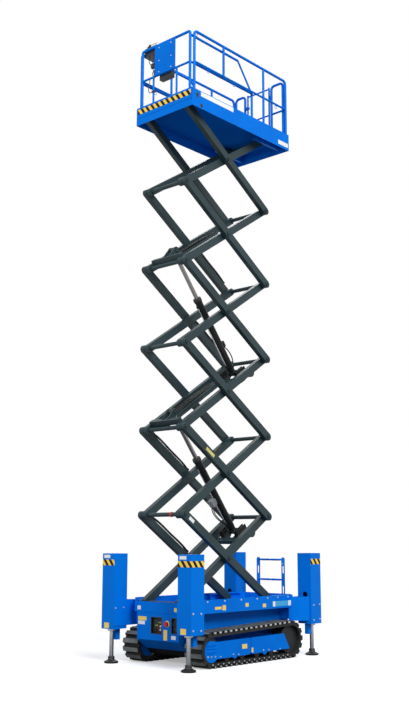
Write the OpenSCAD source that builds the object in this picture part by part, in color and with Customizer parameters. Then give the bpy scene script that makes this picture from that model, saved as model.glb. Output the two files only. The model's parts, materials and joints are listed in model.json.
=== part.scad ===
// Tracked scissor lift with four outrigger legs, shown with its platform raised
// X points to the control-panel end, Y to the left, Z up, and the tracks stand on z = 0

/* [Scissor stack] */
// Distance between the end pivots of one arm
arm_pitch = 2180; // [1900:10:2400]
// Angle of the arms in the pose shown
arm_angle = 33.2; // [28:0.1:38]
// Depth of the arm box section
arm_depth = 112; // [90:1:130]
// Width of the arm box section
arm_width = 75; // [60:1:90]
// Inner face of the inner arms from the middle
inner_half = 283; // [250:1:300]
// Gap between the inner and the outer arms
arm_gap = 7; // [5:0.5:12]
// Radius of the pivot pins
pin_r = 25; // [20:0.5:32]
// Clearance of a pin in its bore
pin_clear = 0.3; // [0.2:0.05:1]
// Radius of the cross tubes
cross_r = 30; // [22:1:40]
// Height of the lowest pivots
base_pivot_z = 812; // [760:1:900]
// Front pivots ahead of the middle
front_x = 1100; // [1050:1:1150]
// Radius of the slide rollers
roller_r = 40; // [30:1:48]

/* [Lift rams] */
// Base pin along its inner arm
ram_base_s = 1800; // [1700:5:1900]
// Rod eye along its inner arm
ram_eye_s = 280; // [220:5:340]
// Rod eye above the centre line of its arm
ram_eye_o = 123; // [100:1:150]
// Base pin to the end of the barrel
barrel_len = 1317; // [1200:1:1380]
// Radius of the barrel
barrel_r = 55; // [45:1:65]
// Radius of the rod
rod_r = 32; // [25:1:38]
// Length of the rod behind its eye
rod_len = 1440; // [1300:5:1480]

/* [Undercarriage] */
// Middle of the machine to the outer face of a track
track_outer = 740; // [680:1:800]
// Width of a track
track_width = 300; // [250:1:350]
// Front wheel position
idler_x = 890; // [840:1:950]
// Rear wheel position
sprocket_x = -842; // [-900:1:-790]
// Outer radius over the lugs at the front
idler_out = 232; // [210:1:250]
// Outer radius over the lugs at the rear
sprocket_out = 258; // [230:1:280]
// Height of the lugs
lug_h = 34; // [22:1:40]
// Thickness of the belt
belt_t = 32; // [22:1:40]

/* [Chassis] */
// Side of the upper tub beyond the outer arms
tub_margin = 165; // [137:1:190]
// Bottom of the tub band
tub_z0 = 693; // [670:1:710]
// Top of the tub band
tub_z1 = 870; // [850:1:890]
// Gap between the lower body and a track
body_gap = 46; // [30:1:60]
// Front wall
body_front = 1180; // [1165:1:1200]
// Rear wall
body_rear = -1205; // [-1240:1:-1180]
// Plate thickness of the walls
wall = 8; // [5:1:12]

/* [Outriggers] */
// Post size along the machine
post_l = 250; // [220:1:280]
// Post size across the machine
post_w = 240; // [210:1:260]
// Bottom of the posts
post_z0 = 455; // [430:1:480]
// Top of the posts
post_z1 = 1475; // [1400:1:1500]
// Radius of the leg rods
leg_r = 30; // [25:1:40]
// Radius of the foot pads
pad_r = 98; // [85:1:120]

/* [Platform] */
// Front end of the platform
plat_front = 1172; // [1168:1:1200]
// Rear end of the platform
plat_rear = -1150; // [-1180:1:-1146]
// Half width over the side panels
plat_half = 580; // [550:1:620]
// Bottom of the side panels below the top pivots
plat_drop = 90; // [80:1:110]
// Height of the side panels
plat_h = 275; // [250:1:300]
// Floor top above the top pivots
floor_up = 68; // [66:1:80]
// Radius of the guard rail tubes
rail_r = 21; // [16:1:22]
// Top rail centre above the floor
rail_top = 1049; // [1000:1:1100]
// Middle rail centre above the floor
rail_mid = 558; // [500:1:600]

/* [Hidden] */
$fn = 48;
ca = cos(arm_angle);
sa = sin(arm_angle);
rise = arm_pitch*sa;
rear_x = front_x - arm_pitch*ca;
inner_out = inner_half + arm_width;
outer_in = inner_out + arm_gap;
outer_out = outer_in + arm_width;
head_in = outer_out + 3;
head_out = head_in + 8;
head_r = pin_r + 11;
top_z = base_pivot_z + 6*rise;
floor_z = top_z + floor_up;
floor_t = 6;
panel_z0 = top_z - plat_drop;
panel_z1 = panel_z0 + plat_h;
rail_y = plat_half - 8 - rail_r;
ext_y = rail_y - 2*rail_r - 10;
rail_z = floor_z + rail_top;
mid_z = floor_z + rail_mid;
mid_r = rail_r - 4;
post_r = rail_r - 2;
gate_r = 15;
tub_half = outer_out + tub_margin;
tub_front_half = outer_in + 70;
tub_rear_half = outer_out + 5;
corner_cut = 155;
band_lip = 48;
band_proud = 6;
post_x0 = body_front;
post_y0 = tub_half;
leg_x = post_x0 + 165;
leg_y = post_y0 + post_w/2;
leg_h = 1138;
foot_h = 62;
stub_l = 66;
stub_drop = 150;
web_t = 12;
web_x0 = 960;
web_z0 = post_z0 + 45;
web_top = tub_z1 - 26;
rib_x = 994;
hole_r = 45;
arm_max = 42.5;
slide_x0 = front_x - arm_pitch - roller_r - 5;
slide_x1 = front_x - arm_pitch*cos(arm_max) + roller_r + 12;
lug_t = 35;
ear_in = 46;
ear_out = 64;
beam_s0 = ram_base_s - 210;
beam_s1 = ram_base_s - 110;
beam_o0 = -95;
beam_o1 = -42;
front_s0 = ram_eye_s - 232;
front_s1 = ram_eye_s - 156;
run = idler_x - sprocket_x;
tilt = atan2(sprocket_out - idler_out, run);
belt_out_f = idler_out - lug_h;
belt_out_r = sprocket_out - lug_h;
belt_in_f = belt_out_f - belt_t;
belt_in_r = belt_out_r - belt_t;
track_in = track_outer - track_width;
body_half = track_in - body_gap;
body_z0 = 200;
nose_z = 331;
nose_back = 180;
belly_z = 118;
belly_back = 110;
pack_half = 620;
pack_top = 470;
panel_y0 = -0.335*body_half;
panel_y1 = 0.21*body_half;
panel_z_lo = 412;
panel_z_hi = 638;
side_y0 = 0.64*body_half;
side_y1 = 0.92*body_half;
stop_y = 0.45*body_half;
stop_z = 554;
recess = 30;
panel_depth = 70;
side_depth = 60;
cover_r = 139;
cover_z = 213;
cover_t = 32;
cover_in = 16;
seam_x = 77;
bump_xs = [420, -230];
frame_z0 = 190;
frame_z1 = 320;
carrier_xs = [430, -470];
roller_out = 54;
roller_z = lug_h + belt_t + roller_out + 1;
roller_xs = [545, 225, -95, -415];
arc_steps = 30;
seat_f = cos((90 - tilt)/arc_steps);
seat_r = cos((90 + tilt)/arc_steps);
lugs_run = 16;
lugs_front = 6;
lugs_rear = 7;
lug_base = 76;
lug_tip = 62;
lug_sunk = 4;
ladder_x = body_rear - 95;
ladder_half = 238;
rung_step = 300;
rung_top = 1369;
rung_r = 13;
ladder_z0 = 300;
ladder_z1 = 1395;
ladder_w = 80;
bracket_hi = 770;
bracket_lo = 420;
bracket_h = 50;
slot_w = 34;
slot_h = 116;
rear_post_x = plat_rear + 39;
front_post_x = plat_front - 70;
bend_r = 60;
front_bend_r = 34;
ext_rail_z = rail_z - front_bend_r - rail_r - 2;
gate_y = -240;
gate_end = 215;
deck_z = floor_z + 6;
deck_t = 5;
runner_gap = 0.3;
runner_w = 40;
ext_rear = -330;
ext_front_x = plat_front - 34;
deck_half = ext_y + rail_r + 4;
toe_z0 = panel_z0 + 112;
toe_z1 = panel_z0 + 282;
side_post_x = 441;
side_post_gap = 972;
rear_frame_right = [-500, -300];
rear_frame_left = [265, 500];
brace_x0 = -300;
brace_x1 = 40;
front_lower_ys = [-256, 228];
plate_y0 = -212;
plate_y1 = 220;
console_y0 = -478;
console_y1 = -222;
console_l = 150;
console_drop = 95;
console_up = 52;
stick_y = -400;
doc_y0 = -146;
doc_y1 = 92;
doc_l = 80;
doc_drop = 88;

// Helpers

// Height of pivot level k in the pose shown
function level(k) = base_pivot_z + k*rise;

// Point on inner arm k at s along it and o above its centre line
function on_inner(k, s, o) = [front_x - s*ca + o*sa, level(k - 1) + s*sa + o*ca];

// A flat shape in X and Z, made solid between two Y planes
module slab(y0, y1) {
    translate([0, y1, 0])
        rotate([90, 0, 0])
            linear_extrude(height = y1 - y0)
                children();
}

// The same solid on both sides of the middle
module both() {
    children();
    mirror([0, 1, 0])
        children();
}

module rod_y(r, y0, y1) {
    translate([0, y0, 0])
        rotate([-90, 0, 0])
            cylinder(r = r, h = y1 - y0);
}

module rod_x(r, x0, x1) {
    translate([x0, 0, 0])
        rotate([0, 90, 0])
            cylinder(r = r, h = x1 - x0);
}

module block(p0, p1) {
    translate(p0)
        cube(p1 - p0);
}

// Local frame of inner arm k, which runs from its front foot along minus X
module in_inner(k) {
    translate([front_x, 0, level(k - 1)])
        rotate([0, arm_angle, 0])
            children();
}

// Local frame of outer arm k, which runs from its rear foot along plus X
module in_outer(k) {
    translate([rear_x, 0, level(k - 1)])
        rotate([0, -arm_angle, 0])
            children();
}

module arm_shape() {
    translate([0, -arm_depth/2])
        square([arm_pitch, arm_depth]);
    circle(arm_depth/2);
    translate([arm_pitch, 0])
        circle(arm_depth/2);
}

// Scissor arms

module pin_out() {
    rod_y(pin_r, inner_out - 10, head_in + 1);
    rod_y(head_r, head_in, head_out);
}

module inner_arms(k) {
    color("#22302f")
        in_inner(k) {
            both() {
                mirror([1, 0, 0])
                    slab(inner_half, inner_out)
                        arm_shape();
                pin_out();
                translate([-arm_pitch/2, 0, 0])
                    pin_out();
                translate([-arm_pitch, 0, 0])
                    if (k < 6)
                        pin_out();
                    else {
                        rod_y(pin_r, inner_out - 10, outer_in + 5);
                        rod_y(roller_r, outer_in + 3, outer_in + 37);
                    }
            }
            rod_y(cross_r, -inner_half - 10, inner_half + 10);
            translate([-arm_pitch, 0, 0])
                rod_y(cross_r, -inner_half - 10, inner_half + 10);
        }
}

module outer_arms(k) {
    color("#22302f")
        in_outer(k)
            both() {
                difference() {
                    slab(outer_in, outer_out)
                        arm_shape();
                    if (k > 1)
                        rod_y(pin_r + pin_clear, outer_in - 1, outer_out + 1);
                    translate([arm_pitch/2, 0, 0])
                        rod_y(pin_r + pin_clear, outer_in - 1, outer_out + 1);
                    translate([arm_pitch, 0, 0])
                        rod_y(pin_r + pin_clear, outer_in - 1, outer_out + 1);
                }
                if (k == 1) {
                    rod_y(pin_r, outer_out - 10, outer_out + 20);
                    rod_y(roller_r, outer_out + 12, outer_out + 46);
                }
            }
}

// Lift rams

// Cross beam, end plates and two ears that carry a ram base
module base_mount(k) {
    in_inner(k) {
        block([-beam_s1, -inner_half + 15, beam_o0], [-beam_s0, inner_half - 15, beam_o1]);
        both() {
            mirror([1, 0, 0])
                slab(inner_half - 15, inner_half)
                    polygon([[beam_s0 - 45, 20], [beam_s1 + 55, 20], [beam_s1 + 55, -50], [beam_s1 + 5, beam_o0],
                             [beam_s0 - 5, beam_o0], [beam_s0 - 45, -50]]);
            mirror([1, 0, 0])
                difference() {
                    union() {
                        slab(ear_in, ear_out)
                            polygon([[beam_s0 + 10, beam_o0 + 2], [beam_s1, beam_o0 + 2], [ram_base_s + 42, -24],
                                     [ram_base_s, 0], [ram_base_s - 30, beam_o1], [beam_s0 + 10, beam_o1]]);
                        translate([ram_base_s, 0, 0])
                            rod_y(48, ear_in, ear_out);
                    }
                    translate([ram_base_s, 0, 0])
                        rod_y(pin_r + pin_clear, ear_in - 1, ear_out + 1);
                }
        }
    }
}

// Cross beam and two ears that take a rod eye
module eye_mount(k) {
    in_inner(k) {
        block([-front_s1, -inner_half, 20], [-front_s0, inner_half, 100]);
        both()
            mirror([1, 0, 0]) {
                slab(ear_in, ear_out)
                    polygon([[front_s0 + 10, 22], [front_s1 + 60, 22], [ram_eye_s + 42, ram_eye_o - 26],
                             [ram_eye_s, ram_eye_o + 50], [front_s0 + 10, 98]]);
                translate([ram_eye_s, 0, ram_eye_o]) {
                    rod_y(50, ear_in, ear_out);
                    rod_y(head_r, ear_out - 1, ear_out + 10);
                }
            }
    }
}

// Local frame of the ram that starts on inner arm k, along plus X
module in_ram(k) {
    p = on_inner(k, ram_base_s, 0);
    q = on_inner(k + 2, ram_eye_s, ram_eye_o);
    translate([p[0], 0, p[1]])
        rotate([0, -atan2(q[1] - p[1], q[0] - p[0]), 0])
            children();
}

function ram_len() = norm(on_inner(3, ram_eye_s, ram_eye_o) - on_inner(1, ram_base_s, 0));

module ram_barrel(k) {
    color("#141617")
        in_ram(k) {
            rod_y(pin_r, -ear_out - 1, ear_out + 1);
            both()
                rod_y(head_r, ear_out + 1, ear_out + 9);
            rod_y(45, -40, 40);
            difference() {
                union() {
                    block([0, -34, -38], [100, 34, 38]);
                    rod_x(barrel_r, 90, barrel_len);
                    rod_x(barrel_r + 5, barrel_len - 60, barrel_len);
                }
                rod_x(rod_r + 0.5, 110, barrel_len + 1);
            }
        }
}

module ram_rod(k) {
    color("#c9ced2")
        in_ram(k) {
            translate([ram_len(), 0, 0]) {
                rod_x(rod_r, -rod_len, -20);
                rod_y(46, -38, 38);
                both()
                    rod_y(pin_r, 37, 41);
            }
        }
}

// Chassis

module tub_outline(inset) {
    polygon([[body_front - inset, -tub_front_half + inset*0.6], [body_front - inset, tub_front_half - inset*0.6],
             [body_front - corner_cut - inset*0.4, tub_half - inset],
             [body_rear + corner_cut + inset*0.4, tub_half - inset],
             [body_rear + inset, tub_rear_half - inset*0.6], [body_rear + inset, -tub_rear_half + inset*0.6],
             [body_rear + corner_cut + inset*0.4, -tub_half + inset],
             [body_front - corner_cut - inset*0.4, -tub_half + inset]]);
}

// Slanted plate from the tub side to a post, in plan
module gusset_plan() {
    polygon([[post_x0 - 185, tub_half - web_t], [post_x0 - 165, tub_half - web_t], [post_x0, post_y0 + 185],
             [post_x0, post_y0 + 203]]);
}

// Web between the tub and one post, with the slanted plate in front of it
module post_web() {
    block([web_x0, tub_half - web_t, web_z0], [post_x0 + post_l, tub_half, tub_z0]);
    block([body_front - corner_cut - 20, tub_half - web_t, tub_z0], [post_x0 + post_l, tub_half, web_top]);
    translate([0, 0, web_z0])
        linear_extrude(height = web_top - web_z0)
            gusset_plan();
    block([rib_x, body_half, web_z0 + 25], [rib_x + web_t, tub_half - web_t, tub_z0]);
}

module chassis_tub() {
    color("#0a6fe0") {
        difference() {
            union() {
                translate([0, 0, tub_z0])
                    linear_extrude(height = tub_z1 - tub_z0)
                        tub_outline(0);
                translate([0, 0, tub_z0])
                    linear_extrude(height = tub_z1 - tub_z0 - band_lip)
                        tub_outline(-band_proud);
            }
            translate([0, 0, tub_z0 + 12])
                linear_extrude(height = tub_z1)
                    tub_outline(wall);
            block([body_front - 100, -outer_out - 12, tub_z1 - 37],
                  [body_front + band_proud + 1, outer_out + 12, tub_z1 + 1]);
        }
        quad()
            post_web();
    }
}

module body_outline(d) {
    polygon([[body_front - d, nose_z + d*0.5], [body_front - d, tub_z0 - d], [body_rear + d, tub_z0 - d],
             [body_rear + d, nose_z + d*0.5], [body_rear + nose_back, body_z0 + d],
             [body_front - nose_back, body_z0 + d]]);
}

module chassis_body() {
    color("#0a6fe0") {
        difference() {
            slab(-body_half, body_half)
                body_outline(0);
            slab(-body_half + wall, body_half - wall)
                body_outline(wall);
            block([body_front - recess, panel_y0, panel_z_lo], [body_front + 1, panel_y1, panel_z_hi]);
            block([body_front - recess, side_y0, panel_z_lo + 18], [body_front + 1, side_y1, panel_z_hi + 2]);
        }
        both() {
            for (x = carrier_xs)
                block([x, body_half, frame_z0], [x + 100, track_in + 25, frame_z1]);
        }
    }
}

module belly_outline(d) {
    polygon([[body_front - nose_back - d, body_z0], [body_front - nose_back - belly_back - d*0.5, belly_z + d],
             [body_rear + nose_back + belly_back + d*0.5, belly_z + d], [body_rear + nose_back + d, body_z0]]);
}

// Skid pan under the lower body
module belly_pan() {
    color("#131516")
        difference() {
            slab(-body_half, body_half)
                belly_outline(0);
            slab(-body_half + wall, body_half - wall)
                belly_outline(wall);
        }
}

module power_pack() {
    color("#3a3d40")
        block([-pack_half, -0.75*body_half, body_z0 + wall], [pack_half, 0.75*body_half, pack_top]);
}

// Open tray behind a cut-out in the front wall
module tray(y0, y1, z0, z1, depth) {
    difference() {
        block([body_front - depth, y0, z0], [body_front, y1, z1]);
        block([body_front - depth + recess, y0 + 12, z0 + 12], [body_front + 1, y1 - 12, z1 - 12]);
    }
}

module control_panel() {
    color("#15181a") {
        tray(panel_y0, panel_y1, panel_z_lo, panel_z_hi, panel_depth);
        tray(side_y0, side_y1, panel_z_lo + 18, panel_z_hi + 2, side_depth);
    }
}

module emergency_stop() {
    color("#c8171d")
        translate([0, stop_y, stop_z]) {
            rod_x(18, body_front, body_front + 16);
            rod_x(33, body_front + 12, body_front + 36);
        }
}

// Front pivot lugs and rear slide channels of the chassis
module base_slides() {
    color("#0a6fe0")
        both() {
            difference() {
                union() {
                    block([front_x - 60, outer_in, tub_z0 + 12], [front_x + 50, outer_in + lug_t, base_pivot_z]);
                    translate([front_x, 0, base_pivot_z])
                        rod_y(48, outer_in, outer_in + lug_t);
                }
                translate([front_x, 0, base_pivot_z])
                    rod_y(pin_r + pin_clear, outer_in - 1, outer_in + lug_t + 1);
            }
            difference() {
                block([slide_x0, outer_out + 13, tub_z0 + 12],
                      [slide_x1, outer_out + 60, base_pivot_z + roller_r + 12]);
                block([slide_x0 - 1, outer_out + 12, base_pivot_z - roller_r - 2],
                      [slide_x1 + 1, outer_out + 52, base_pivot_z + roller_r + 2]);
                block([slide_x0 - 1, outer_out + 12, tub_z0 + 11],
                      [slide_x1 + 1, outer_out + 40, base_pivot_z - roller_r - 12]);
            }
        }
}

// Outriggers

module quad() {
    for (mx = [0, 1])
        for (my = [0, 1])
            mirror([mx, 0, 0])
                mirror([0, my, 0])
                    children();
}

module outrigger_posts() {
    color("#0a6fe0")
        quad() {
            difference() {
                block([post_x0, post_y0, post_z0], [post_x0 + post_l, post_y0 + post_w, post_z1]);
                block([post_x0 + 10, post_y0 + 10, post_z0 + 60],
                      [post_x0 + post_l - 10, post_y0 + post_w - 10, post_z1 - 10]);
                translate([leg_x, leg_y, post_z0 - 1])
                    cylinder(r = leg_r + 0.5, h = 80);
                translate([post_x0 - 1, post_y0 + post_w/2 + 10, tub_z1])
                    rod_x(hole_r, 0, 20);
            }
            block([post_x0 + 40, leg_y - stub_l/2, post_z0 - stub_drop],
                  [post_x0 + 40 + stub_l, leg_y + stub_l/2, post_z0]);
        }
}

module leg_rod(mx, my) {
    color("#c9ced2")
        mirror([mx, 0, 0])
            mirror([0, my, 0])
                translate([leg_x, leg_y, foot_h])
                    cylinder(r = leg_r, h = leg_h);
}

module foot_pad(mx, my) {
    color("#17191a")
        mirror([mx, 0, 0])
            mirror([0, my, 0])
                translate([leg_x, leg_y, 0])
                    rotate_extrude()
                        polygon([[0, 0], [pad_r - 6, 0], [pad_r, 8], [pad_r, 22], [leg_r + 20, 46],
                                 [leg_r + 14, foot_h], [0, foot_h]]);
}

// Tracks

// Points around both wheels at the given radii, front arc first, then the rear arc
function loop_points(rf, rr) = concat(
    [for (i = [0 : arc_steps]) let (a = -90 + (180 - 2*tilt)*i/arc_steps)
        [idler_x + rf*cos(a), idler_out + rf*sin(a)]],
    [for (i = [0 : arc_steps]) let (a = 90 - 2*tilt + (180 + 2*tilt)*i/arc_steps)
        [sprocket_x + rr*cos(a), sprocket_out + rr*sin(a)]]);

module lug() {
    polygon([[-lug_base/2, -lug_sunk], [lug_base/2, -lug_sunk], [lug_tip/2, lug_h], [-lug_tip/2, lug_h]]);
}

module lug_ring() {
    for (i = [0 : lugs_run - 1]) {
        translate([idler_x - run*(i + 0.5)/lugs_run, lug_h])
            rotate(180)
                lug();
        translate([idler_x + belt_out_f*sin(2*tilt) - run*(i + 0.5)/lugs_run*cos(2*tilt),
                   idler_out + belt_out_f*cos(2*tilt) + run*(i + 0.5)/lugs_run*sin(2*tilt)])
            rotate(-2*tilt)
                lug();
    }
    for (i = [0 : lugs_front - 1])
        translate([idler_x, idler_out])
            rotate(-90 - 90 + (180 - 2*tilt)*(i + 0.5)/lugs_front)
                translate([0, belt_out_f])
                    lug();
    for (i = [0 : lugs_rear - 1])
        translate([sprocket_x, sprocket_out])
            rotate(-2*tilt + (180 + 2*tilt)*(i + 0.5)/lugs_rear)
                translate([0, belt_out_r])
                    lug();
}

module track_belts() {
    color("#1a1b1c")
        both()
            slab(track_in, track_outer)
                difference() {
                    union() {
                        polygon(loop_points(belt_out_f, belt_out_r));
                        lug_ring();
                    }
                    polygon(loop_points(belt_in_f, belt_in_r));
                }
}

// Side cover with a round front end, a slanted rear end and bumps at two rollers
module cover_shape() {
    difference() {
        union() {
            translate([idler_x, cover_z])
                circle(cover_r);
            polygon([[idler_x, cover_z - 101], [idler_x + 30, cover_z + 118], [sprocket_x + 170, cover_z + 135],
                     [sprocket_x + 42, cover_z - 80]]);
            for (x = bump_xs)
                translate([x, cover_z - 70])
                    circle(50);
        }
        translate([seam_x, cover_z + 128])
            circle(24);
        translate([seam_x, cover_z - 94])
            circle(24);
    }
}

module track_frames() {
    color("#0a6fe0")
        both() {
            difference() {
                slab(track_outer - cover_in - cover_t, track_outer - cover_in)
                    cover_shape();
                block([seam_x - 5, track_outer - cover_in - 8, 0], [seam_x + 5, track_outer, 400]);
            }
            for (z = [cover_z - 22, cover_z + 70])
                translate([0, track_outer - cover_in, z])
                    rod_x(6, idler_x - 75, idler_x + 95);
            slab(track_in + 25, track_in + 55)
                cover_shape();
            block([-560, track_in + 55, frame_z0], [700, track_outer - cover_in - cover_t, frame_z1]);
        }
}

module track_wheels() {
    color("#202224")
        both() {
            translate([idler_x, 0, idler_out])
                rod_y(belt_in_f*seat_f, track_in + 60, track_outer - cover_in - cover_t - 5);
            translate([idler_x, 0, idler_out])
                rod_y(40, track_in + 55, track_outer - cover_in - cover_t);
            translate([sprocket_x, 0, sprocket_out])
                rod_y(belt_in_r*seat_r, track_in + 70, track_outer - cover_in - cover_t - 12);
            translate([sprocket_x, 0, sprocket_out])
                rod_y(95, body_half, track_in + 71);
            for (x = roller_xs)
                translate([x, 0, roller_z]) {
                    rod_y(roller_out, track_in + 60, track_outer - cover_in - cover_t - 5);
                    rod_y(10, track_in + 55, track_outer - cover_in - cover_t);
                }
        }
}

// Ladder at the rear

// Upright slot with round ends
module slot_plan() {
    polygon([for (i = [0 : 24]) let (a = i <= 12 ? 15*i : 15*(i - 1), up = i <= 12 ? 1 : -1)
        [slot_w/2*cos(a), up*(slot_h - slot_w)/2 + slot_w/2*sin(a)]]);
}

module ladder() {
    color("#0a6fe0") {
        both() {
            difference() {
                slab(ladder_half, ladder_half + 8)
                    polygon(concat([[ladder_x - ladder_w/2, ladder_z0], [ladder_x + ladder_w/2, ladder_z0]],
                                   [for (a = [0 : 15 : 180])
                                       [ladder_x + ladder_w/2*cos(a), ladder_z1 - 14 + ladder_w/2*sin(a)*0.6]]));
                for (i = [0 : 2])
                    slab(ladder_half - 1, ladder_half + 9)
                        translate([ladder_x, rung_top - rung_step*(i + 0.5)])
                            slot_plan();
            }
            block([ladder_x + 30, ladder_half - web_t, bracket_hi],
                  [body_rear - band_proud, ladder_half, bracket_hi + bracket_h]);
            block([ladder_x + 30, ladder_half - web_t, bracket_lo],
                  [body_rear, ladder_half, bracket_lo + bracket_h]);
        }
        for (i = [0 : 3])
            translate([ladder_x, 0, rung_top - rung_step*i])
                rod_y(rung_r, -ladder_half - 1, ladder_half + 1);
    }
}

// Platform

module platform_frame() {
    color("#0a6fe0") {
        both()
            block([plat_rear, plat_half - 6, panel_z0], [plat_front, plat_half, panel_z1]);
        block([plat_front - 6, -plat_half + 6, panel_z0], [plat_front, plat_half - 6, toe_z0 - 4]);
        block([plat_rear, -plat_half + 6, panel_z0], [plat_rear + 6, plat_half - 6, floor_z + 100]);
    }
}

module platform_floor() {
    color("#4a4f53")
        block([plat_rear + 6, -plat_half + 6, floor_z - floor_t], [plat_front - 14, plat_half - 6, floor_z]);
}

// Channels for the upper rollers and lugs with pins for the upper front pivots
module platform_slides() {
    color("#0a6fe0")
        both() {
            translate([0, 0, top_z]) {
                difference() {
                    block([slide_x0, outer_in + 1, -roller_r - 10], [slide_x1, outer_in + 50, floor_up - floor_t]);
                    block([slide_x0 - 1, outer_in, -roller_r - 2], [slide_x1 + 1, outer_in + 42, roller_r + 2]);
                    block([slide_x0 - 1, outer_in, roller_r + 10], [slide_x1 + 1, outer_in + 30, floor_up]);
                }
                block([front_x - 60, outer_out + 7, -10], [front_x + 50, outer_out + 25, floor_up - floor_t]);
                translate([front_x, 0, 0]) {
                    rod_y(50, outer_out + 7, outer_out + 25);
                    rod_y(pin_r, outer_in - 3, outer_out + 8);
                }
            }
        }
}

module tube_x(x0, x1, y, z, r = rail_r) {
    translate([0, y, z])
        rod_x(r, x0, x1);
}

module tube_y(y0, y1, x, z, r = rail_r) {
    translate([x, 0, z])
        rod_y(r, y0, y1);
}

module tube_z(z0, z1, x, y, r = rail_r) {
    translate([x, y, z0])
        cylinder(r = r, h = z1 - z0);
}

// Quarter bend in an X and Z plane that joins a level tube to a post at x
module bend_x(x, y, z, side, br) {
    translate([x - side*br, y, z - br])
        rotate([90, 0, 0])
            rotate(side > 0 ? 0 : 90)
                rotate_extrude(angle = 90)
                    translate([br, 0])
                        circle(rail_r);
}

// Upright hoop with rounded corners and a middle rail, along X from z0
module hoop(x0, x1, z0, br) {
    tube_z(z0, rail_z - br, x0, 0);
    tube_z(z0, rail_z - br, x1, 0);
    bend_x(x1, 0, rail_z, 1, br);
    bend_x(x0, 0, rail_z, -1, br);
    tube_x(x0 + br, x1 - br, 0, rail_z);
    tube_x(x0, x1, 0, mid_z, mid_r);
}

// The same hoop across the machine at x
module cross_frame(x, y0, y1, z0, br) {
    translate([x, 0, 0])
        rotate([0, 0, 90])
            hoop(y0, y1, z0, br);
}

module main_rails() {
    color("#0a6fe0") {
        both() {
            translate([0, rail_y, 0])
                hoop(rear_post_x, front_post_x, floor_z, bend_r);
            tube_z(mid_z, rail_z, side_post_x, rail_y, post_r);
            tube_z(floor_z, rail_z, side_post_x - side_post_gap, rail_y, post_r);
        }
        cross_frame(rear_post_x, rear_frame_right[0], rear_frame_right[1], floor_z, bend_r);
        cross_frame(rear_post_x, rear_frame_left[0], rear_frame_left[1], floor_z, bend_r);
        for (z = [floor_z + 250, floor_z + 800])
            difference() {
                block([rear_post_x - 22, rear_frame_right[1], z], [rear_post_x + 22, gate_y + 22, z + 40]);
                translate([rear_post_x, gate_y, z - 1])
                    cylinder(r = gate_r + 0.4, h = 42);
            }
    }
}

module gate() {
    color("#0a6fe0") {
        translate([rear_post_x, gate_y, floor_z + 60])
            cylinder(r = gate_r, h = rail_top - 60);
        translate([rear_post_x, gate_end, floor_z + 60])
            cylinder(r = gate_r, h = rail_top - 60);
        for (z = [floor_z + 90, mid_z, rail_z - 25])
            translate([rear_post_x, 0, z])
                rod_y(gate_r - 2, gate_y, gate_end);
    }
}

module extension_deck() {
    color("#4a4f53") {
        block([ext_rear, -deck_half, deck_z], [plat_front - 6, deck_half, deck_z + deck_t]);
        both() {
            block([ext_rear, deck_half - 3, deck_z + deck_t], [plat_front - 6, deck_half, deck_z + 60]);
            block([ext_rear, deck_half - 2*runner_w, floor_z + runner_gap],
                  [plat_front - runner_w, deck_half - runner_w, deck_z]);
        }
    }
}

module toe_plate() {
    color("#0a6fe0")
        block([plat_front - 6, -plat_half + 10, toe_z0], [plat_front + 2, plat_half - 10, toe_z1]);
}

module extension_rails() {
    color("#0a6fe0") {
        cross_frame(ext_front_x, -ext_y, ext_y, deck_z + deck_t, front_bend_r);
        both() {
            tube_x(brace_x1, ext_front_x, ext_y, ext_rail_z, post_r);
            tube_x(brace_x0, ext_front_x, ext_y, mid_z + 2, mid_r - 1);
            tube_z(deck_z + deck_t, mid_z + 25, brace_x0, ext_y, post_r);
            translate([brace_x0, ext_y, mid_z])
                rotate([0, atan2(brace_x1 - brace_x0, ext_rail_z - mid_z), 0])
                    cylinder(r = mid_r - 2, h = norm([brace_x1 - brace_x0, ext_rail_z - mid_z]));
        }
        for (y = front_lower_ys)
            tube_z(deck_z + deck_t, mid_z, ext_front_x, y, mid_r - 1);
    }
}

module control_plate() {
    color("#0a6fe0")
        block([ext_front_x + rail_r, plate_y0, mid_z - 10],
              [ext_front_x + rail_r + 5, plate_y1, rail_z - 6]);
}

// Console with a sloping top behind the front rail
module control_box() {
    color("#17191a") {
        slab(console_y0, console_y1)
            polygon([[ext_front_x - rail_r, rail_z - console_drop], [ext_front_x - rail_r, rail_z + console_up],
                     [ext_front_x - rail_r - 40, rail_z + console_up], [ext_front_x - rail_r - console_l, rail_z - 20],
                     [ext_front_x - rail_r - console_l, rail_z - console_drop]]);
        translate([ext_front_x - rail_r - 30, stick_y, rail_z + console_up - 2])
            cylinder(r = 13, h = 64);
    }
}

module document_box() {
    color("#17191a")
        block([ext_front_x - mid_r - doc_l, doc_y0, mid_z - doc_drop],
              [ext_front_x - mid_r, doc_y1, mid_z + 10]);
}

module inner_arms_1() { inner_arms(1); }
module inner_arms_2() { inner_arms(2); }
module inner_arms_3() { inner_arms(3); }
module inner_arms_4() { inner_arms(4); }
module inner_arms_5() { inner_arms(5); }
module inner_arms_6() { inner_arms(6); }
module outer_arms_1() { outer_arms(1); }
module outer_arms_2() { outer_arms(2); }
module outer_arms_3() { outer_arms(3); }
module outer_arms_4() { outer_arms(4); }
module outer_arms_5() { outer_arms(5); }
module outer_arms_6() { outer_arms(6); }

module ram_mount_1() {
    color("#22302f")
        base_mount(1);
}

module ram_mount_3() {
    color("#22302f") {
        base_mount(3);
        eye_mount(3);
    }
}

module ram_mount_5() {
    color("#22302f")
        eye_mount(5);
}

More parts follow.
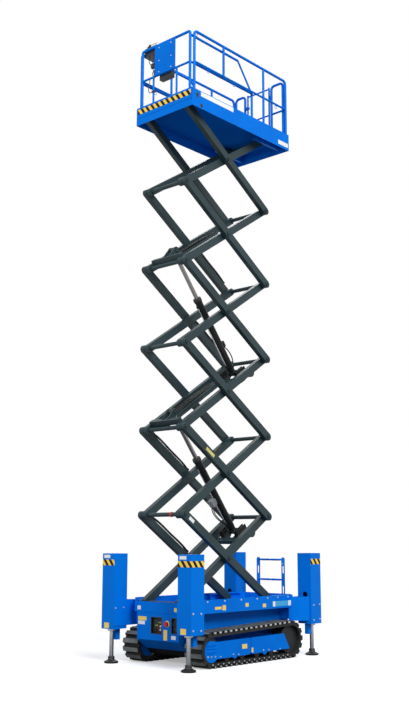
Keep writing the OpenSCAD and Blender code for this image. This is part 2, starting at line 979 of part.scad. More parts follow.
chassis_tub();
chassis_body();
belly_pan();
power_pack();
control_panel();
emergency_stop();
base_slides();
outrigger_posts();
leg_rod(0, 0);  // leg_rod_front_left
leg_rod(0, 1);  // leg_rod_front_right
leg_rod(1, 0);  // leg_rod_rear_left
leg_rod(1, 1);  // leg_rod_rear_right
foot_pad(0, 0);  // foot_pad_front_left
foot_pad(0, 1);  // foot_pad_front_right
foot_pad(1, 0);  // foot_pad_rear_left
foot_pad(1, 1);  // foot_pad_rear_right
track_belts();
track_frames();
track_wheels();
ladder();
inner_arms_1();
inner_arms_2();
inner_arms_3();
inner_arms_4();
inner_arms_5();
inner_arms_6();
outer_arms_1();
outer_arms_2();
outer_arms_3();
outer_arms_4();
outer_arms_5();
outer_arms_6();
ram_mount_1();
ram_mount_3();
ram_mount_5();
ram_barrel(1);  // ram_barrel_lower
ram_rod(1);  // ram_rod_lower
ram_barrel(3);  // ram_barrel_upper
ram_rod(3);  // ram_rod_upper
platform_frame();
platform_floor();
platform_slides();
main_rails();
gate();
extension_deck();
toe_plate();
extension_rails();
control_plate();
control_box();
document_box();
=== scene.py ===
# %% [markdown]
# This lesson dresses a tracked scissor lift. The solids come from a CAD pack and stay where they are, as a
# frame. Everything here is added around them: finishes, bolts, hoses, switches and painted bands. The frame
# is loaded first.

import json
import math

import bpy
from mathutils import Matrix, Vector


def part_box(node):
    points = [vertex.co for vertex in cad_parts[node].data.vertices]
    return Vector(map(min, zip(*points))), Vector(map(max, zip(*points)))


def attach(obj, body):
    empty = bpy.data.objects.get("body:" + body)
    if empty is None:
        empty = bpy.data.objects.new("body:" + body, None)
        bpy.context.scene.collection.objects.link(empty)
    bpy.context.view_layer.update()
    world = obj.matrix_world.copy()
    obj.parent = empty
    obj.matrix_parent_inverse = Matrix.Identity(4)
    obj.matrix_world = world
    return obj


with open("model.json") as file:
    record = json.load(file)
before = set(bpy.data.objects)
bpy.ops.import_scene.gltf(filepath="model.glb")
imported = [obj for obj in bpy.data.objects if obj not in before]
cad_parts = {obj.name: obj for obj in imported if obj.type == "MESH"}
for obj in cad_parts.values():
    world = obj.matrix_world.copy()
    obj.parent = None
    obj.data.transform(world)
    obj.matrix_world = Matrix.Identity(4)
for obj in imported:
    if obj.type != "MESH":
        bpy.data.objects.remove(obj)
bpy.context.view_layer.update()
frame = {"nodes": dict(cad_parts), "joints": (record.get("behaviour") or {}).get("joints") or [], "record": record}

# %% [markdown]
# The camera stands at eye height, ahead of the machine and to its left, and looks up a little, because the
# raised platform is far above the lens. A lens of 50 mm on a 36 mm tall sensor gives the view of the photo.

# %% Camera
EYE = Vector((10.928, 9.592, 1.655))
YAW = 3.8733
PITCH = 0.1905
ROLL = -0.0026
LENS_MM = 50.0
SENSOR_MM = 36.0


def deselect():
    bpy.ops.object.select_all(action="DESELECT")


ahead = Vector((math.cos(PITCH) * math.cos(YAW), math.cos(PITCH) * math.sin(YAW), math.sin(PITCH)))
side = ahead.cross(Vector((0, 0, 1))).normalized()
above = side.cross(ahead)
turn = Matrix.Rotation(ROLL, 3, ahead)
side, above = turn @ side, turn @ above
deselect()
bpy.ops.object.camera_add(location=EYE)
camera = bpy.context.object
camera.rotation_euler = Matrix((side, above, -ahead)).transposed().to_euler()
camera.data.sensor_fit = "VERTICAL"
camera.data.sensor_height = SENSOR_MM
camera.data.lens = LENS_MM
camera.data.clip_end = 100
bpy.context.scene.camera = camera
print("camera at", tuple(round(v, 2) for v in EYE))

# %% [markdown]
# Studio light for painted steel is broad and even: one large soft lamp on the sunny side, weaker ones in front
# and behind, and a pale world that fills the shadows. The camera sees that world as plain white, and so do
# mirror-like parts, so that chrome shows a white room.

# %% World and lamps
scene = bpy.context.scene
scene.view_settings.view_transform = "Standard"


def add(tree, kind, inputs=None, **settings):
    """Adds one shader node with its settings, values and links."""
    made = tree.nodes.new(kind)
    for key, value in settings.items():
        setattr(made, key, value)
    for key, value in (inputs or {}).items():
        if isinstance(value, bpy.types.NodeSocket):
            tree.links.new(value, made.inputs[key])
        else:
            made.inputs[key].default_value = value
    return made


FILL_LIGHT = 0.36
FILL_TINT = (0.92, 0.96, 1, 1)
world = bpy.data.worlds.new("studio")
world.use_nodes = True
scene.world = world
tree = world.node_tree
tree.nodes.clear()
rays = add(tree, "ShaderNodeLightPath")
clear_seen = add(tree, "ShaderNodeMath", {0: rays.outputs["Is Camera Ray"], 1: rays.outputs["Is Transmission Ray"]},
                 operation="MAXIMUM")
seen = add(tree, "ShaderNodeMath", {0: clear_seen.outputs[0], 1: rays.outputs["Is Glossy Ray"]}, operation="MAXIMUM")
fill = add(tree, "ShaderNodeBackground", {"Color": FILL_TINT, "Strength": FILL_LIGHT})
white = add(tree, "ShaderNodeBackground", {"Color": (1, 1, 1, 1), "Strength": 1})
both = add(tree, "ShaderNodeMixShader", {0: seen.outputs[0], 1: fill.outputs[0], 2: white.outputs[0]})
add(tree, "ShaderNodeOutputWorld", {"Surface": both.outputs[0]})


def lamp(name, place, aim, size, watts):
    deselect()
    bpy.ops.object.light_add(type="AREA", location=place)
    light = bpy.context.object
    light.name = name
    light.data.size = size
    light.data.energy = watts
    light.rotation_euler = (Vector(aim) - Vector(place)).to_track_quat("-Z", "Y").to_euler()
    return light


lamp("key", (14, 40, 32), (0, 0, 4), 22, 19500)
lamp("front", (17, 3, 9), (0, 0, 4), 7, 980)
lamp("rim", (-12, -8, 16), (0, 0, 5), 8, 700)

# %% [markdown]
# The floor is a pale disc that fades out, so that the shadow under the tracks stays but no horizon shows. To the
# camera it glows a little, and to every other ray it is a mid grey, so that it doesn't light the machine from
# below and wash out the shade under the platform.

# %% Floor
FLOOR_RADIUS = 9.0
FLOOR_SOLID = 3.0
FLOOR_EDGE = 1.0
FLOOR_DROP = 0.002
FLOOR_PALE = (0.93, 0.93, 0.93, 1)
FLOOR_GREY = (0.22, 0.22, 0.22, 1)
FLOOR_GLOW = 0.35
deselect()
bpy.ops.mesh.primitive_circle_add(vertices=96, radius=FLOOR_RADIUS, fill_type="NGON", location=(0, 0, -FLOOR_DROP))
floor = bpy.context.object
floor.name = "studio_floor"
paper = bpy.data.materials.new("pale floor")
paper.use_nodes = True
tree = paper.node_tree
tree.nodes.clear()
place = add(tree, "ShaderNodeTexCoord")
reach = add(tree, "ShaderNodeVectorMath", {0: place.outputs["Object"]}, operation="LENGTH")
fade = add(tree, "ShaderNodeMapRange",
           {"Value": reach.outputs["Value"], "From Min": FLOOR_SOLID, "From Max": FLOOR_RADIUS - FLOOR_EDGE})
matt = add(tree, "ShaderNodeBsdfDiffuse", {"Color": FLOOR_PALE})
glow = add(tree, "ShaderNodeEmission", {"Color": (1, 1, 1, 1), "Strength": FLOOR_GLOW})
lit = add(tree, "ShaderNodeAddShader", {0: matt.outputs[0], 1: glow.outputs[0]})
grey = add(tree, "ShaderNodeBsdfDiffuse", {"Color": FLOOR_GREY})
path = add(tree, "ShaderNodeLightPath")
shown = add(tree, "ShaderNodeMixShader", {0: path.outputs["Is Camera Ray"], 1: grey.outputs[0], 2: lit.outputs[0]})
clear = add(tree, "ShaderNodeBsdfTransparent")
faded = add(tree, "ShaderNodeMixShader", {0: fade.outputs[0], 1: shown.outputs[0], 2: clear.outputs[0]})
add(tree, "ShaderNodeOutputMaterial", {"Surface": faded.outputs[0]})
floor.data.materials.append(paper)
print("floor disc", 2 * FLOOR_RADIUS, "m wide")

# %% [markdown]
# Finishes come next. Most of the machine is powder-coated steel: glossy, slightly uneven in tone, with a fine
# orange peel. One function makes every painted finish, because only the colour and the gloss change. The
# peel on the real coat is about 2 mm wide, too fine to show from here, so it is drawn at 30 mm.

# %% Painted steel
PEEL_MM = 30
TONE_MM = 600


def linear(code):
    """One sRGB hex value as linear red, green, blue and alpha."""
    parts = [int(code[i:i + 2], 16) / 255 for i in (1, 3, 5)]
    return tuple(p / 12.92 if p <= 0.04045 else ((p + 0.055) / 1.055) ** 2.4 for p in parts) + (1,)


def new_material(name):
    """A material with an empty node tree, and the piece's own coordinates for its patterns."""
    material = bpy.data.materials.new(name)
    material.use_nodes = True
    tree = material.node_tree
    tree.nodes.clear()
    return material, tree, add(tree, "ShaderNodeTexCoord").outputs["Object"]


def painted(name, shade, deep, rough, shine, peel=0.06):
    """Powder coat: shade where it is clean, deep where it is dusty or thin; shine is its mirror strength."""
    material, tree, place = new_material(name)
    tone = add(tree, "ShaderNodeTexNoise", {"Vector": place, "Scale": 1000 / TONE_MM, "Detail": 3})
    spread = add(tree, "ShaderNodeMapRange", {"Value": tone.outputs[0], "From Min": 0.42, "From Max": 0.75})
    colour = add(tree, "ShaderNodeMix", {"Factor": spread.outputs[0], "A": linear(shade), "B": linear(deep)},
                 data_type="RGBA")
    skin = add(tree, "ShaderNodeTexNoise", {"Vector": place, "Scale": 1000 / PEEL_MM, "Detail": 2})
    gloss = add(tree, "ShaderNodeMapRange", {"Value": skin.outputs[0], "To Min": rough - 0.05, "To Max": rough + 0.08})
    bump = add(tree, "ShaderNodeBump", {"Height": skin.outputs[0], "Strength": peel, "Distance": 0.002})
    shader = add(tree, "ShaderNodeBsdfPrincipled",
                 {"Base Color": colour.outputs["Result"], "Roughness": gloss.outputs[0], "Normal": bump.outputs[0],
                  "IOR": 1.5, "Specular IOR Level": shine})
    add(tree, "ShaderNodeOutputMaterial", {"Surface": shader.outputs[0]})
    return material


# Blue is even and bright, and the dark coats take a soft line of light along their edges.
# Floor paint is flat, and its darker blue is painted shade for the underside of the platform.
blue = painted("blue powder coat", "#0078E6", "#006EDA", 0.36, 0.05)
shaded_floor_paint = painted("matt blue floor paint, darker for painted shade", "#0A66CC", "#085CBC", 0.75, 0.0)
arm_paint = painted("dark green-grey powder coat", "#283B40", "#203034", 0.36, 0.26)
ram_paint = painted("black ram paint", "#131516", "#0D0E0F", 0.42, 0.25)
block_paint = painted("dark grey paint", "#3A3D40", "#313437", 0.5, 0.25)
print("painted finishes:", blue.name, arm_paint.name, ram_paint.name)

# %% [markdown]
# Hard chrome on the rods is ground and polished, so it is a smooth metal whose gloss changes only a little. Zinc
# on bolts is duller. The tracks are moulded rubber, which is never quite black: dust settles on it. One function
# makes the metals and one makes what is cast or moulded. The real grain is finer than 1 mm, so it is drawn at 5 to
# 25 mm to show, and the chrome's slow change of gloss is wider.

# %% Metal, rubber and plastic
DUST_MM = 160


def metal(name, shade, rough, grain_mm):
    """Bare or plated metal, whose gloss changes over patches grain_mm wide."""
    material, tree, place = new_material(name)
    grain = add(tree, "ShaderNodeTexNoise", {"Vector": place, "Scale": 1000 / grain_mm, "Detail": 4})
    gloss = add(tree, "ShaderNodeMapRange",
                {"Value": grain.outputs[0], "To Min": rough - 0.06, "To Max": rough + 0.12})
    shader = add(tree, "ShaderNodeBsdfPrincipled",
                 {"Base Color": linear(shade), "Metallic": 1.0, "Roughness": gloss.outputs[0]})
    add(tree, "ShaderNodeOutputMaterial", {"Surface": shader.outputs[0]})
    return material


def moulded(name, shade, dust, rough, grain_mm, bump_strength):
    """A cast or moulded surface with a grain, and with dust in patches."""
    material, tree, place = new_material(name)
    grain = add(tree, "ShaderNodeTexNoise", {"Vector": place, "Scale": 1000 / grain_mm, "Detail": 5})
    patch = add(tree, "ShaderNodeTexNoise", {"Vector": place, "Scale": 1000 / DUST_MM, "Detail": 4})
    spread = add(tree, "ShaderNodeMapRange", {"Value": patch.outputs[0], "From Min": 0.45, "From Max": 0.72})
    colour = add(tree, "ShaderNodeMix", {"Factor": spread.outputs[0], "A": linear(shade), "B": linear(dust)},
                 data_type="RGBA")
    bump = add(tree, "ShaderNodeBump", {"Height": grain.outputs[0], "Strength": bump_strength, "Distance": 0.002})
    shader = add(tree, "ShaderNodeBsdfPrincipled",
                 {"Base Color": colour.outputs["Result"], "Roughness": rough, "Normal": bump.outputs[0]})
    add(tree, "ShaderNodeOutputMaterial", {"Surface": shader.outputs[0]})
    return material


# Metals: chrome mirrors the room, zinc is softly bright, and tread plate is dull silver.
chrome = metal("hard chrome", "#BFC3C8", 0.2, 240)
zinc = metal("zinc plate", "#D2D5D8", 0.36, 12)
tread = metal("aluminium tread plate", "#8F9396", 0.4, 25)
# Castings: iron is dark and grainy, and aluminium is pale grey with a finer grain.
cast = moulded("cast iron", "#15171A", "#212427", 0.55, 14, 0.3)
grey_cast = moulded("cast aluminium", "#8E9295", "#7C8083", 0.48, 9, 0.2)
# Rubber: matt and nearly black, and grey where dust lies on it. The pale greys for the lugs are painted highlights.
track_rubber = moulded("moulded track rubber", "#0A0B0C", "#191A1B", 0.7, 10, 0.35)
pad_rubber = moulded("moulded pad rubber", "#0D0E0E", "#1B1C1C", 0.5, 8, 0.25)
hose_rubber = moulded("hose rubber", "#0E0F10", "#191A1B", 0.42, 6, 0.15)
# The next two greys are painted highlights, where light falls on the tips and the ends of the track lugs.
lug_highlight_rubber = moulded("track lug highlight rubber", "#7C8182", "#5A5E5F", 0.75, 9, 0.35)
lug_end_highlight_rubber = moulded("track lug end highlight rubber", "#C4C6C6", "#A9ABAB", 0.7, 9, 0.3)
# ABS: satin and even in colour.
black_plastic = moulded("black ABS", "#131517", "#1C1F21", 0.45, 5, 0.12)
red_plastic = moulded("red ABS", "#C4121A", "#B01018", 0.3, 6, 0.06)
# Vinyl: a flat colour with a soft sheen, paler and greyer where the sun has faded it.
white_vinyl = moulded("white vinyl", "#F6F7F7", "#ECEDED", 0.4, 20, 0.04)
yellow_vinyl = moulded("yellow vinyl", "#FFDA66", "#FBD05A", 0.4, 20, 0.04)
faded_vinyl = moulded("faded yellow vinyl", "#D6CC7C", "#C6BC6C", 0.5, 20, 0.04)
sky_vinyl = moulded("sky blue vinyl", "#45ACE2", "#3CA1D8", 0.4, 20, 0.04)
# Lamp lenses: smooth, so that each has a sharp glint.
lamp_green = moulded("green lamp lens", "#2E9E48", "#28903F", 0.25, 8, 0.02)
lamp_amber = moulded("amber lamp lens", "#E09A1E", "#D18E18", 0.25, 8, 0.02)
print("plain finishes ready")

# %% [markdown]
# The bands that mark a crush hazard are slanted yellow and black stripes on vinyl tape. A pattern on the
# piece's own coordinates does it: a slanted distance, folded into a period, is compared with one half. The
# sum of the three axes slants on a front face and on a side face alike. The posts and the toe plate have a lean
# of their own.

# %% Striped tape
def striped(name, period, lean):
    """Slanted tape: lean gives the weight of x, y and z in the slanted distance."""
    material, tree, place = new_material(name)
    slant = add(tree, "ShaderNodeVectorMath", {0: place, 1: lean}, operation="DOT_PRODUCT")
    count = add(tree, "ShaderNodeMath", {0: slant.outputs["Value"], 1: period}, operation="DIVIDE")
    phase = add(tree, "ShaderNodeMath", {0: count.outputs[0]}, operation="FRACT")
    dark = add(tree, "ShaderNodeMath", {0: phase.outputs[0], 1: 0.5}, operation="GREATER_THAN")
    colour = add(tree, "ShaderNodeMix", {"Factor": dark.outputs[0], "A": linear("#FFD65C"), "B": linear("#15140F")},
                 data_type="RGBA")
    shader = add(tree, "ShaderNodeBsdfPrincipled",
                 {"Base Color": colour.outputs["Result"], "Roughness": 0.4, "Specular IOR Level": 0.15})
    add(tree, "ShaderNodeOutputMaterial", {"Surface": shader.outputs[0]})
    return material


tape_post = striped("striped tape on posts", 0.106, (-1, 1, 0.75))
tape_toe = striped("striped tape on toe plate", 0.105, (0, 1, 0.7))
print("tapes:", tape_post.name, "and", tape_toe.name)

# %% [markdown]
# Each CAD node takes the finish of its material slot. The platform floor takes a flat blue whose darker tone is
# painted shade for its underside. The solids keep their own meshes. A table and a loop do it, because a node that
# is dressed by hand is easily missed.

# %% Dress the CAD nodes
finishes = {
    "blue paint": blue,
    "dark green paint": arm_paint,
    "black paint": ram_paint,
    "dark block": block_paint,
    "chrome": chrome,
    "dark steel": cast,
    "track rubber": track_rubber,
    "black rubber": pad_rubber,
    "black plastic": black_plastic,
    "red plastic": red_plastic,
    "grey floor": tread,
}


def coat(piece, material):
    piece.data.materials.clear()
    piece.data.materials.append(material)


for part in frame["record"]["subparts"]:
    coat(frame["nodes"][part["node"]], finishes[part["material_slot"]])
# The darker blue of the platform floor is painted shade for its underside, and its flat finish is its own.
coat(frame["nodes"]["platform_floor"], shaded_floor_paint)
print("dressed", len(frame["nodes"]), "nodes")

# %% [markdown]
# Small pieces start from four shapes that are made with hand operators: a block with softened edges, a turned
# piece and a hollow ring drawn out ring by ring, and a hose swept along points. Each helper leaves the object at
# the origin, with its place in its mesh.

# %% Shaping helpers
SAME_POINT = 0.00005
SMOOTH_UNDER = math.radians(40)
BOLT_RINGS = ((0.75, 0), (0.75, 0.12), (0.5, 0.13), (0.5, 0.5), (0.42, 0.56))


def cube(name, low, high):
    """A plain box between two corners."""
    deselect()
    low, high = Vector(low), Vector(high)
    bpy.ops.mesh.primitive_cube_add(size=1, location=(low + high) / 2)
    piece = bpy.context.object
    piece.name = name
    piece.scale = high - low
    bpy.ops.object.transform_apply(location=True, rotation=True, scale=True)
    return piece


def block(name, low, high, soften=0.002):
    """A box with bevelled edges between two corners."""
    piece = cube(name, low, high)
    bpy.ops.object.mode_set(mode="EDIT")
    bpy.ops.mesh.select_all(action="SELECT")
    bpy.ops.mesh.bevel(offset=soften, segments=2, affect="EDGES")
    bpy.ops.object.mode_set(mode="OBJECT")
    return piece


def through_rings(name, rings, sides, hollow):
    """A circle on the Z axis, drawn out through (radius, height) rings; a hollow piece closes on its first ring."""
    deselect()
    radius, height = rings[0]
    bpy.ops.mesh.primitive_circle_add(vertices=sides, radius=radius, fill_type="NOTHING" if hollow else "NGON",
                                      location=(0, 0, height))
    piece = bpy.context.object
    piece.name = name
    bpy.ops.object.transform_apply(location=True, rotation=True, scale=True)
    bpy.ops.object.mode_set(mode="EDIT")
    bpy.ops.mesh.select_mode(type="VERT")
    bpy.ops.mesh.select_all(action="SELECT")
    for next_radius, next_height in rings[1:] + rings[:1] * hollow:
        bpy.ops.mesh.extrude_region_move(TRANSFORM_OT_translate={"value": (0, 0, next_height - height)})
        grow = next_radius / radius
        bpy.ops.transform.resize(value=(grow, grow, 1), center_override=(0, 0, next_height))
        radius, height = next_radius, next_height
    bpy.ops.mesh.select_all(action="SELECT")
    if hollow:
        bpy.ops.mesh.remove_doubles(threshold=SAME_POINT)
    bpy.ops.mesh.normals_make_consistent(inside=False)
    bpy.ops.object.mode_set(mode="OBJECT")
    bpy.ops.object.shade_smooth_by_angle(angle=SMOOTH_UNDER)
    return piece


def turned(name, rings, sides=24):
    return through_rings(name, rings, sides, False)


def tube_ring(name, rings, sides=32):
    return through_rings(name, rings, sides, True)


def stand(axis, place):
    """The matrix that takes the Z axis to axis and the origin to place."""
    return Matrix.Translation(place) @ Vector(axis).to_track_quat("Z", "Y").to_matrix().to_4x4()


def copy_of(piece, matrix):
    """A copy with its own mesh, moved by matrix."""
    twin = piece.copy()
    twin.data = piece.data.copy()
    twin.data.transform(matrix)
    bpy.context.collection.objects.link(twin)
    return twin


def scatter(name, piece, matrices):
    """One joined piece made of copies, and the pattern piece is dropped."""
    copies = [copy_of(piece, m) for m in matrices]
    bpy.data.objects.remove(piece)
    return joined(name, copies)


def joined(name, pieces):
    deselect()
    for piece in pieces:
        piece.select_set(True)
    bpy.context.view_layer.objects.active = pieces[0]
    if len(pieces) > 1:
        bpy.ops.object.join()
    pieces[0].name = name
    return pieces[0]


def hose(name, points, radius):
    """A round hose through points, as a mesh."""
    line = bpy.data.curves.new(name, "CURVE")
    line.dimensions = "3D"
    line.bevel_depth = radius
    line.bevel_resolution = 3
    line.use_fill_caps = True
    path = line.splines.new("BEZIER")
    path.bezier_points.add(len(points) - 1)
    for knot, point in zip(path.bezier_points, points):
        knot.co = point
        knot.handle_left_type = knot.handle_right_type = "AUTO"
    piece = bpy.data.objects.new(name, line)
    bpy.context.collection.objects.link(piece)
    deselect()
    piece.select_set(True)
    bpy.context.view_layer.objects.active = piece
    bpy.ops.object.convert(target="MESH")
    bpy.ops.object.shade_smooth()
    return bpy.context.object


def settle(piece, body, material, at=None):
    """Puts a finished piece in its place and gives it its finish and the body that it moves with."""
    if at is not None:
        piece.data.transform(at)
    coat(piece, material)
    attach(piece, body)


def bolt(size):
    """A hexagon head on a washer, size across the corners."""
    return turned("bolt", [(size * r, size * h) for r, h in BOLT_RINGS], sides=6)


def bolts(name, size, spots, body):
    settle(scatter(name, bolt(size), spots), body, zinc)


print("helpers ready")

# %% [markdown]
# Places on the machine are read from the frame: boxes of nodes and pivots of joints. The four posts share one
# node, so their corners come from its box and the size of one post.

# %% Places on the frame
joints = {j["name"]: j for j in frame["joints"]}
post_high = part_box("outrigger_posts")[1]
POST_LONG = 0.250
POST_WIDE = 0.240
post_x = (post_high[0] - POST_LONG, post_high[0])
post_y = (post_high[1] - POST_WIDE, post_high[1])
corners = [(sx, sy) for sx in (1, -1) for sy in (1, -1)]


def pivot(name):
    return Vector(joints[name]["pos_m"])


def arm_frame(origin, towards):
    """Axes with X along an arm, Y to the left and Z square to both."""
    x = (towards - origin).normalized()
    y = Vector((0, 1, 0))
    z = x.cross(y)
    return Matrix(((x.x, y.x, z.x, origin.x), (x.y, y.y, z.y, origin.y), (x.z, y.z, z.z, origin.z), (0, 0, 0, 1)))


stages = range(1, 7)
inner_frame = {}
outer_frame = {}
for k in stages:
    front = pivot("lift") if k == 1 else pivot("front_%d" % (k - 1))
    centre = pivot("centre_%d" % k)
    top = pivot("front_%d" % k) if k < 6 else pivot("platform_level")
    inner_frame[k] = arm_frame(front, centre)
    outer_frame[k] = arm_frame(2 * centre - top, centre)
ARM_LONG = 2 * (pivot("centre_1") - pivot("lift")).length
print("arm length", round(ARM_LONG, 3))

# %% [markdown]
# The posts carry a striped band near the top, on the two faces that look outwards. Each face gets a thin strip
# of tape that stands just proud of the steel. A mask in the paint would do too, but a strip keeps sharp edges.

# %% Bands on the posts
BAND_LOW = 1.312
BAND_HIGH = 1.392
TAPE = 0.0012


def on_front(name, sx, face, y0, y1, z0, z1, thick=TAPE):
    """A thin plate on a face that looks along X; sx gives the way it looks."""
    x0, x1 = sorted((face, face + sx * thick))
    return block(name, (x0, y0, z0), (x1, y1, z1), thick / 4)


def on_side(name, sy, face, x0, x1, z0, z1, thick=TAPE):
    """A thin plate on a face that looks along Y; sy gives the way it looks."""
    y0, y1 = sorted((face, face + sy * thick))
    return block(name, (x0, y0, z0), (x1, y1, z1), thick / 4)


strips = []
for sx, sy in corners:
    x0, x1 = sorted((sx * post_x[0], sx * post_x[1]))
    y0, y1 = sorted((sy * post_y[0], sy * post_y[1]))
    strips.append(on_front("strip", sx, sx * post_x[1], y0, y1, BAND_LOW, BAND_HIGH))
    strips.append(on_side("strip", sy, sy * post_y[1], x0, x1, BAND_LOW, BAND_HIGH))
settle(joined("post_bands", strips), "chassis", tape_post)
print("bands on", len(corners), "posts")

# %% [markdown]
# Bolts hold the posts to the side plates. They are zinc-plated hexagon heads on a washer, so one is modelled and
# the rest are copies. A few more sit in a row along the upper lip of the tub.

# %% Bolts on the posts and the tub
POST_BOLTS = ((1.391, 0.729), (1.240, 0.721), (1.241, 0.508), (1.391, 0.516))
LIP_BOLTS = (0.847, 0.495, 0.143, -0.208, -0.448, -0.687, -0.930)
LIP_Z = 0.845
LIP_Y = 0.605
INSIDE_BOLTS = (1.250, 1.404)
INSIDE_BOLT_Z = 0.738
SIDE_PLATE = 0.012
spots = []
for sx, sy in corners:
    for x, z in POST_BOLTS:
        spots.append(stand((0, sy, 0), (sx * x, sy * post_y[1], z)))
    for x in INSIDE_BOLTS:
        spots.append(stand((0, -sy, 0), (sx * x, sy * (post_y[0] - SIDE_PLATE), INSIDE_BOLT_Z)))
for sy in (1, -1):
    for x in LIP_BOLTS:
        spots.append(stand((0, sy, 0), (x, sy * LIP_Y, LIP_Z)))
bolts("post_bolts", 0.019, spots, "chassis")
print("bolts:", len(spots))

# %% [markdown]
# Each leg slides through a gland, a steel ring with a wiper that is bolted under the post. It has a hole, so it
# is drawn as a closed loop of rings: up the outside, over the top and down the inside.

# %% Leg glands and swivel collars
LEG_X = 1.345
LEG_Y = 0.725
POST_FOOT = 0.455
GLAND_RINGS = [(0.050, 0), (0.056, -0.006), (0.056, -0.022), (0.047, -0.030), (0.0335, -0.030), (0.0335, 0)]
COLLAR_RINGS = [(0.040, 0.061), (0.046, 0.066), (0.046, 0.082), (0.036, 0.094), (0.0315, 0.094)]
places = [Matrix.Translation((sx * LEG_X, sy * LEG_Y, POST_FOOT)) for sx, sy in corners]
settle(scatter("leg_glands", tube_ring("gland", GLAND_RINGS), places), "chassis", zinc)
for sx, sy in corners:
    leg = "leg_%s_%s" % ("front" if sx > 0 else "rear", "left" if sy > 0 else "right")
    at = Matrix.Translation((sx * LEG_X, sy * LEG_Y, 0))
    settle(turned("collar_" + leg, COLLAR_RINGS), leg, cast, at)
print("four glands and four collars")

# %% [markdown]
# Blank plates sit where the machine has its notices: white ones above the bands, yellow ones at the feet of the
# posts, and a row along the band of the tub. Each is a thin block of vinyl, so that its softened edge shows.

# %% Blank plates on the chassis
FRONT = 1.180
BAND_FRONT = 1.186
BAND_SIDE = 0.611
BAND_WHITE = (-0.386, -0.322, 0.722, 0.774)
BAND_YELLOW = (0.312, 0.360, 0.718, 0.770)
POST_WHITE = (-0.090, 0.030, 1.412, 1.456)
POST_YELLOW = (-0.065, 0.031, 0.466, 0.540)
FRONT_WHITE = ((-0.375, -0.245, 0.528, 0.576), (0.256, 0.340, 0.360, 0.408))
FRONT_YELLOW = ((-0.375, -0.215, 0.582, 0.634), (0.113, 0.181, 0.342, 0.478))
SIDE_WHITE = ((-0.995, -0.930, 0.722, 0.794), (-0.620, -0.565, 0.722, 0.794))
SIDE_SKY = ((-0.926, -0.624, 0.722, 0.794),)
SIDE_YELLOW = ((0.476, 0.546, 0.722, 0.790), (0.566, 0.700, 0.738, 0.774), (-0.012, 0.054, 0.748, 0.798),
               (-0.406, -0.332, 0.722, 0.772))


def both_sides(face, table, thick=TAPE):
    """Plates on the two long sides, from a table of x and z limits."""
    return [on_side("plate", sy, sy * face, *limits, thick) for sy in (1, -1) for limits in table]


whites = [on_front("plate", 1, BAND_FRONT, *BAND_WHITE)]
yellows = [on_front("plate", 1, BAND_FRONT, *BAND_YELLOW)]
for sx, sy in corners:
    middle = sy * (post_y[0] + post_y[1]) / 2
    for plates, (y0, y1, z0, z1) in ((whites, POST_WHITE), (yellows, POST_YELLOW)):
        plates.append(on_front("plate", sx, sx * post_x[1], middle + y0, middle + y1, z0, z1))
whites += [on_front("plate", 1, FRONT, *limits) for limits in FRONT_WHITE] + both_sides(BAND_SIDE, SIDE_WHITE)
yellows += [on_front("plate", 1, FRONT, *limits) for limits in FRONT_YELLOW] + both_sides(BAND_SIDE, SIDE_YELLOW)
skies = both_sides(BAND_SIDE, SIDE_SKY)
settle(joined("white_plates", whites), "chassis", white_vinyl)
settle(joined("yellow_plates", yellows), "chassis", yellow_vinyl)
settle(joined("sky_plates", skies), "chassis", sky_vinyl)
print("plates:", len(whites), "white,", len(yellows), "yellow and", len(skies), "sky blue")

# %% [markdown]
# The open recess at the front holds the ground controls: a dark board with lamps, push buttons, two key switches
# and a small dark display. The narrow recess beside it holds a charging socket with a hinged cap. Round parts
# are turned and the board is a bevelled block.

# %% Ground controls
BOARD_X = 1.140
BOARD_FACE = BOARD_X + 0.010
SOCKET_FACE = 1.150
SOCKET_AT = (SOCKET_FACE, 0.307, 0.560)
BOARD = ((BOARD_X, -0.108, 0.440), (BOARD_FACE, 0.058, 0.612), 0.003)
DISPLAY = ((BOARD_X + 0.009, -0.090, 0.540), (BOARD_X + 0.014, 0.004, 0.594), 0.002)
SOCKET_CAP = ((SOCKET_FACE, 0.272, 0.470), (SOCKET_FACE + 0.012, 0.342, 0.512), 0.004)
LENS_RINGS = [(0.012, 0), (0.012, 0.004), (0.009, 0.005), (0.009, 0.011), (0.006, 0.014), (0.002, 0.015)]
BUTTON_RINGS = [(0.013, 0), (0.013, 0.006), (0.010, 0.007), (0.010, 0.014), (0.008, 0.016)]
KEY_RINGS = [(0.016, 0), (0.016, 0.008), (0.012, 0.009), (0.012, 0.014), (0.004, 0.014), (0.004, 0.026), (0.003, 0.028)]
SOCKET_RINGS = [(0.040, 0), (0.040, 0.010), (0.034, 0.014), (0.034, 0.024), (0.024, 0.024), (0.024, 0.012),
                (0.004, 0.012)]
LAMPS = (("green", lamp_green, -0.060, 0.524), ("amber", lamp_amber, -0.030, 0.524), ("red", red_plastic, 0.0, 0.470))
TWIN_LAMP = (0.060, 0.040)
BUTTONS = ((-0.085, 0.485), (-0.052, 0.485), (-0.019, 0.485), (-0.085, 0.455), (-0.052, 0.455))
KEYS = ((0.035, 0.470), (0.035, 0.515))


def facing_front(x, *places_yz):
    return [stand((1, 0, 0), (x, y, z)) for y, z in places_yz]


